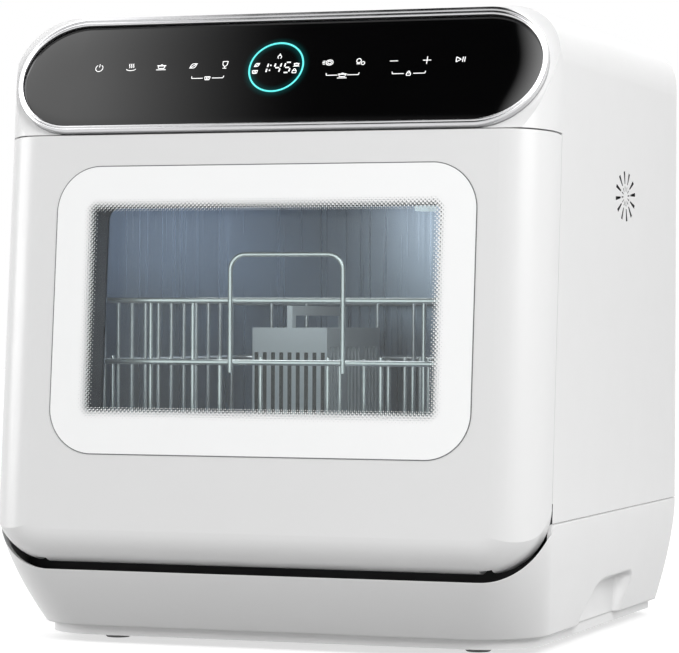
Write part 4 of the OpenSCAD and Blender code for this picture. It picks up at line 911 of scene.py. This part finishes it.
def sign_piece(name, strokes):
    """Ribbons on the panel's plane just above its glass, made thick; strokes are (path in mm, width in mm)."""
    flat, quads = joined([ribbon(path, width) for path, width in strokes])
    flat = flat / 1000
    points = on_panel(np.stack([flat[:, 0], np.full(len(flat), GLASS_TOP - SIGN_LIFT), flat[:, 1]], -1))
    piece = make_piece(name, points, quads, "cabinet", finishes["sign_white"], smooth=False)
    piece.modifiers.new("thick", "SOLIDIFY").thickness = SIGN_LIFT * 1.2


def moved(strokes, x, z, size=1.0):
    """The same strokes, scaled and shifted."""
    return [np.asarray(path) * size + (x, z) for path in strokes]


KEY_UP, BRACKET_UP, CLOCK_UP = 51.5, 41.2, 48.4
KEY_LINE, FINE_LINE, CLOCK_LINE = 0.52, 0.5, 0.95
keys = [(path, KEY_LINE) for sign, x in KEY_ROW.items() for path in moved(SIGNS[sign], x, KEY_UP)]
for sign, x in BRACKETS.items():
    strokes = moved(SIGNS[sign], x, BRACKET_UP, 0.95)
    for side in (-1, 1):
        strokes += moved(dense([(side * 3.4, 0), (side * 11.6, 0), (side * 11.9, 1.7)]), x, BRACKET_UP)
    keys += [(path, FINE_LINE) for path in strokes]
sign_piece("touch_signs", keys)

clock = digit(1, -8.6, CLOCK_UP) + digit(4, 0.9, CLOCK_UP) + digit(5, 8.2, CLOCK_UP)
clock += moved(dense([(-4.2, 1.5), (-4.1, 2.5)]) + dense([(-4.5, -2.5), (-4.4, -1.5)]), 0, CLOCK_UP)
CLOCK_SIGNS = {"drop": (1.2, 9.2, 1.1), "leaf": (-14.4, 2.6, 0.72), "basket": (-15.1, -3.0, 0.9),
               "pot": (14.6, 2.4, 0.62), "lock": (13.8, -3.0, 0.95)}
small = [path for sign, (x, up, size) in CLOCK_SIGNS.items() for path in moved(SIGNS[sign], x, CLOCK_UP + up, size)]
sign_piece("clock_digits", [(path, CLOCK_LINE) for path in clock] + [(path, FINE_LINE) for path in small])
print("strokes:", len(keys) + len(clock) + len(small))

# %% [markdown]
# ## The floor
# The floor is a wide pale disc, flat and closed at its middle but for a millimetre. It looks
# pure white to the camera and through glass, and gives back less than half of the light that
# falls on it, so the machine isn't lit from below like a lantern. The light path node tells
# the rays apart. A shadow catcher would do in one view, but not in every viewer.

# %% Floor
FLOOR_GLOW = 0.66


def sees_white(tree):
    """1 for camera, glossy and transmission rays, and 0 for the rays that light things."""
    path = tree.nodes.new("ShaderNodeLightPath")
    seen = sums(tree, "MAXIMUM", path.outputs["Is Camera Ray"], path.outputs["Is Glossy Ray"])
    return sums(tree, "MAXIMUM", seen, path.outputs["Is Transmission Ray"])


def studio_floor(size=12.0, rings=24, around=48):
    """A flat disc of rings, each point at (radius * cos turn, radius * sin turn, 0)."""
    turns = np.linspace(0, 2 * np.pi, around, endpoint=False)
    radius, turn = np.meshgrid(np.linspace(0.001, size, rings), turns, indexing="ij")
    points = np.stack([radius * np.cos(turn), radius * np.sin(turn), np.zeros_like(turn)], -1)
    mesh = bpy.data.meshes.new("floor")
    quads = grid_quads(rings, around, wrap_columns=True)
    mesh.from_pydata(points.reshape(-1, 3).tolist(), [], quads[:, ::-1].tolist())
    made, tree, shader = new_finish("floor")
    constants(shader, Roughness=0.8, Specular_IOR_Level=0.1, Emission_Color=(1, 1, 1, 1))
    cloud = noise(tree, place(tree), 3.0)
    colour_from(tree, shader, blend_colour(tree, cloud, rgba((0.44, 0.44, 0.44)), rgba((0.46, 0.46, 0.46))))
    tree.links.new(sums(tree, "MULTIPLY", sees_white(tree), FLOOR_GLOW), shader.inputs["Emission Strength"])
    mesh.materials.append(made)
    floor = bpy.data.objects.new("floor", mesh)
    bpy.context.scene.collection.objects.link(floor)
    return floor


floor = studio_floor()
print("floor quads:", len(floor.data.polygons))

# %% [markdown]
# ## The room
# The world is white to the camera, and lights the machine like a pale room, less from below
# and more from above. A black pane shows only what it mirrors. The panel's tilt makes it see
# the ceiling, so in mirrors the ceiling is black with two graded white cards. One gives the
# panel's left end its grey sheen, which fades to the middle, and the other lights the rolled
# margin at its right. Real cards on stands would do the same, but would stand in other views.

# %% Room
ROOM_RISE, ROOM_LIGHT = (-0.1, 0.95), (0.28, 0.70)
DARK_CEILING, CARD = 0.01, 2.45
CEILING_STARTS = (0.42, 0.66)
LEFT_CARD, LEFT_POWER = (-0.345, -0.405), 1.7
RIGHT_CARD, RIGHT_LIGHT = (-0.17, 0.04), 2.3

bpy.context.scene.view_settings.view_transform = "Standard"
world = bpy.data.worlds.new("studio")
world.use_nodes = True
bpy.context.scene.world = world
sky = world.node_tree
height = feed(sky, "SeparateXYZ", {0: feed(sky, "TexCoord", out=0)}, out=2)
across = feed(sky, "SeparateXYZ", {0: feed(sky, "TexCoord", out=0)}, out=0)
rays = sky.nodes.new("ShaderNodeLightPath")
glossy = rays.outputs["Is Glossy Ray"]
plain = sums(sky, "MAXIMUM", rays.outputs["Is Camera Ray"], rays.outputs["Is Transmission Ray"])

room = between(sky, height, *ROOM_RISE, *ROOM_LIGHT)
lighting = sums(sky, "MULTIPLY", sums(sky, "SUBTRACT", 1.0, sums(sky, "MAXIMUM", glossy, plain)), room)

ceiling = between(sky, height, *CEILING_STARTS)
left_card = sums(sky, "POWER", between(sky, across, *LEFT_CARD), LEFT_POWER)
cards = sums(sky, "ADD", left_card, between(sky, across, *RIGHT_CARD, 0.0, RIGHT_LIGHT))
overhead = sums(sky, "MULTIPLY_ADD", cards, CARD, DARK_CEILING)
mirrored = sums(sky, "ADD", sums(sky, "SUBTRACT", 1.0, ceiling), sums(sky, "MULTIPLY", ceiling, overhead))
seen = sums(sky, "MAXIMUM", plain, sums(sky, "MULTIPLY", glossy, mirrored))

background = sky.nodes["Background"]
background.inputs["Color"].default_value = (1, 1, 1, 1)
sky.links.new(sums(sky, "ADD", lighting, seen), background.inputs["Strength"])
print("room light from below and from above:", ROOM_LIGHT)

# %% [markdown]
# ## The lamps
# One big soft lamp stands at the right front, where the cabinet's side is brightest, and a
# weaker one at the left. Their size keeps the shadows' edges soft. A small lamp hangs under
# the tub's ceiling, where the machine has its own light, so the rack shows through the
# window.

# %% Lamps
def soft_lamp(name, where, at, size, power):
    """A square lamp of that size, turned to look at a point."""
    data = bpy.data.lights.new(name, "AREA")
    data.shape = "SQUARE"
    data.size = size
    data.energy = power
    lamp = bpy.data.objects.new(name, data)
    lamp.location = where
    aim = np.asarray(at, float) - where
    lamp.rotation_euler = (math.acos(-aim[2] / np.linalg.norm(aim)), 0, math.atan2(aim[1], aim[0]) - math.pi / 2)
    bpy.context.scene.collection.objects.link(lamp)


LAMPS = {
    "key_softbox": dict(where=(1.78, -1.39, 1.48), at=(0, 0, 0.22), size=1.5, power=43.0),
    "left_softbox": dict(where=(-2.3, -0.75, 0.87), at=(0, 0, 0.22), size=1.4, power=29.0),
    "tub_light": dict(where=(0.0, -0.06, 0.325), at=(0.0, 0.02, 0.2), size=0.18, power=0.26),
}
for name, values in LAMPS.items():
    soft_lamp(name, **values)
print("lights:", [light.name for light in bpy.data.lights])
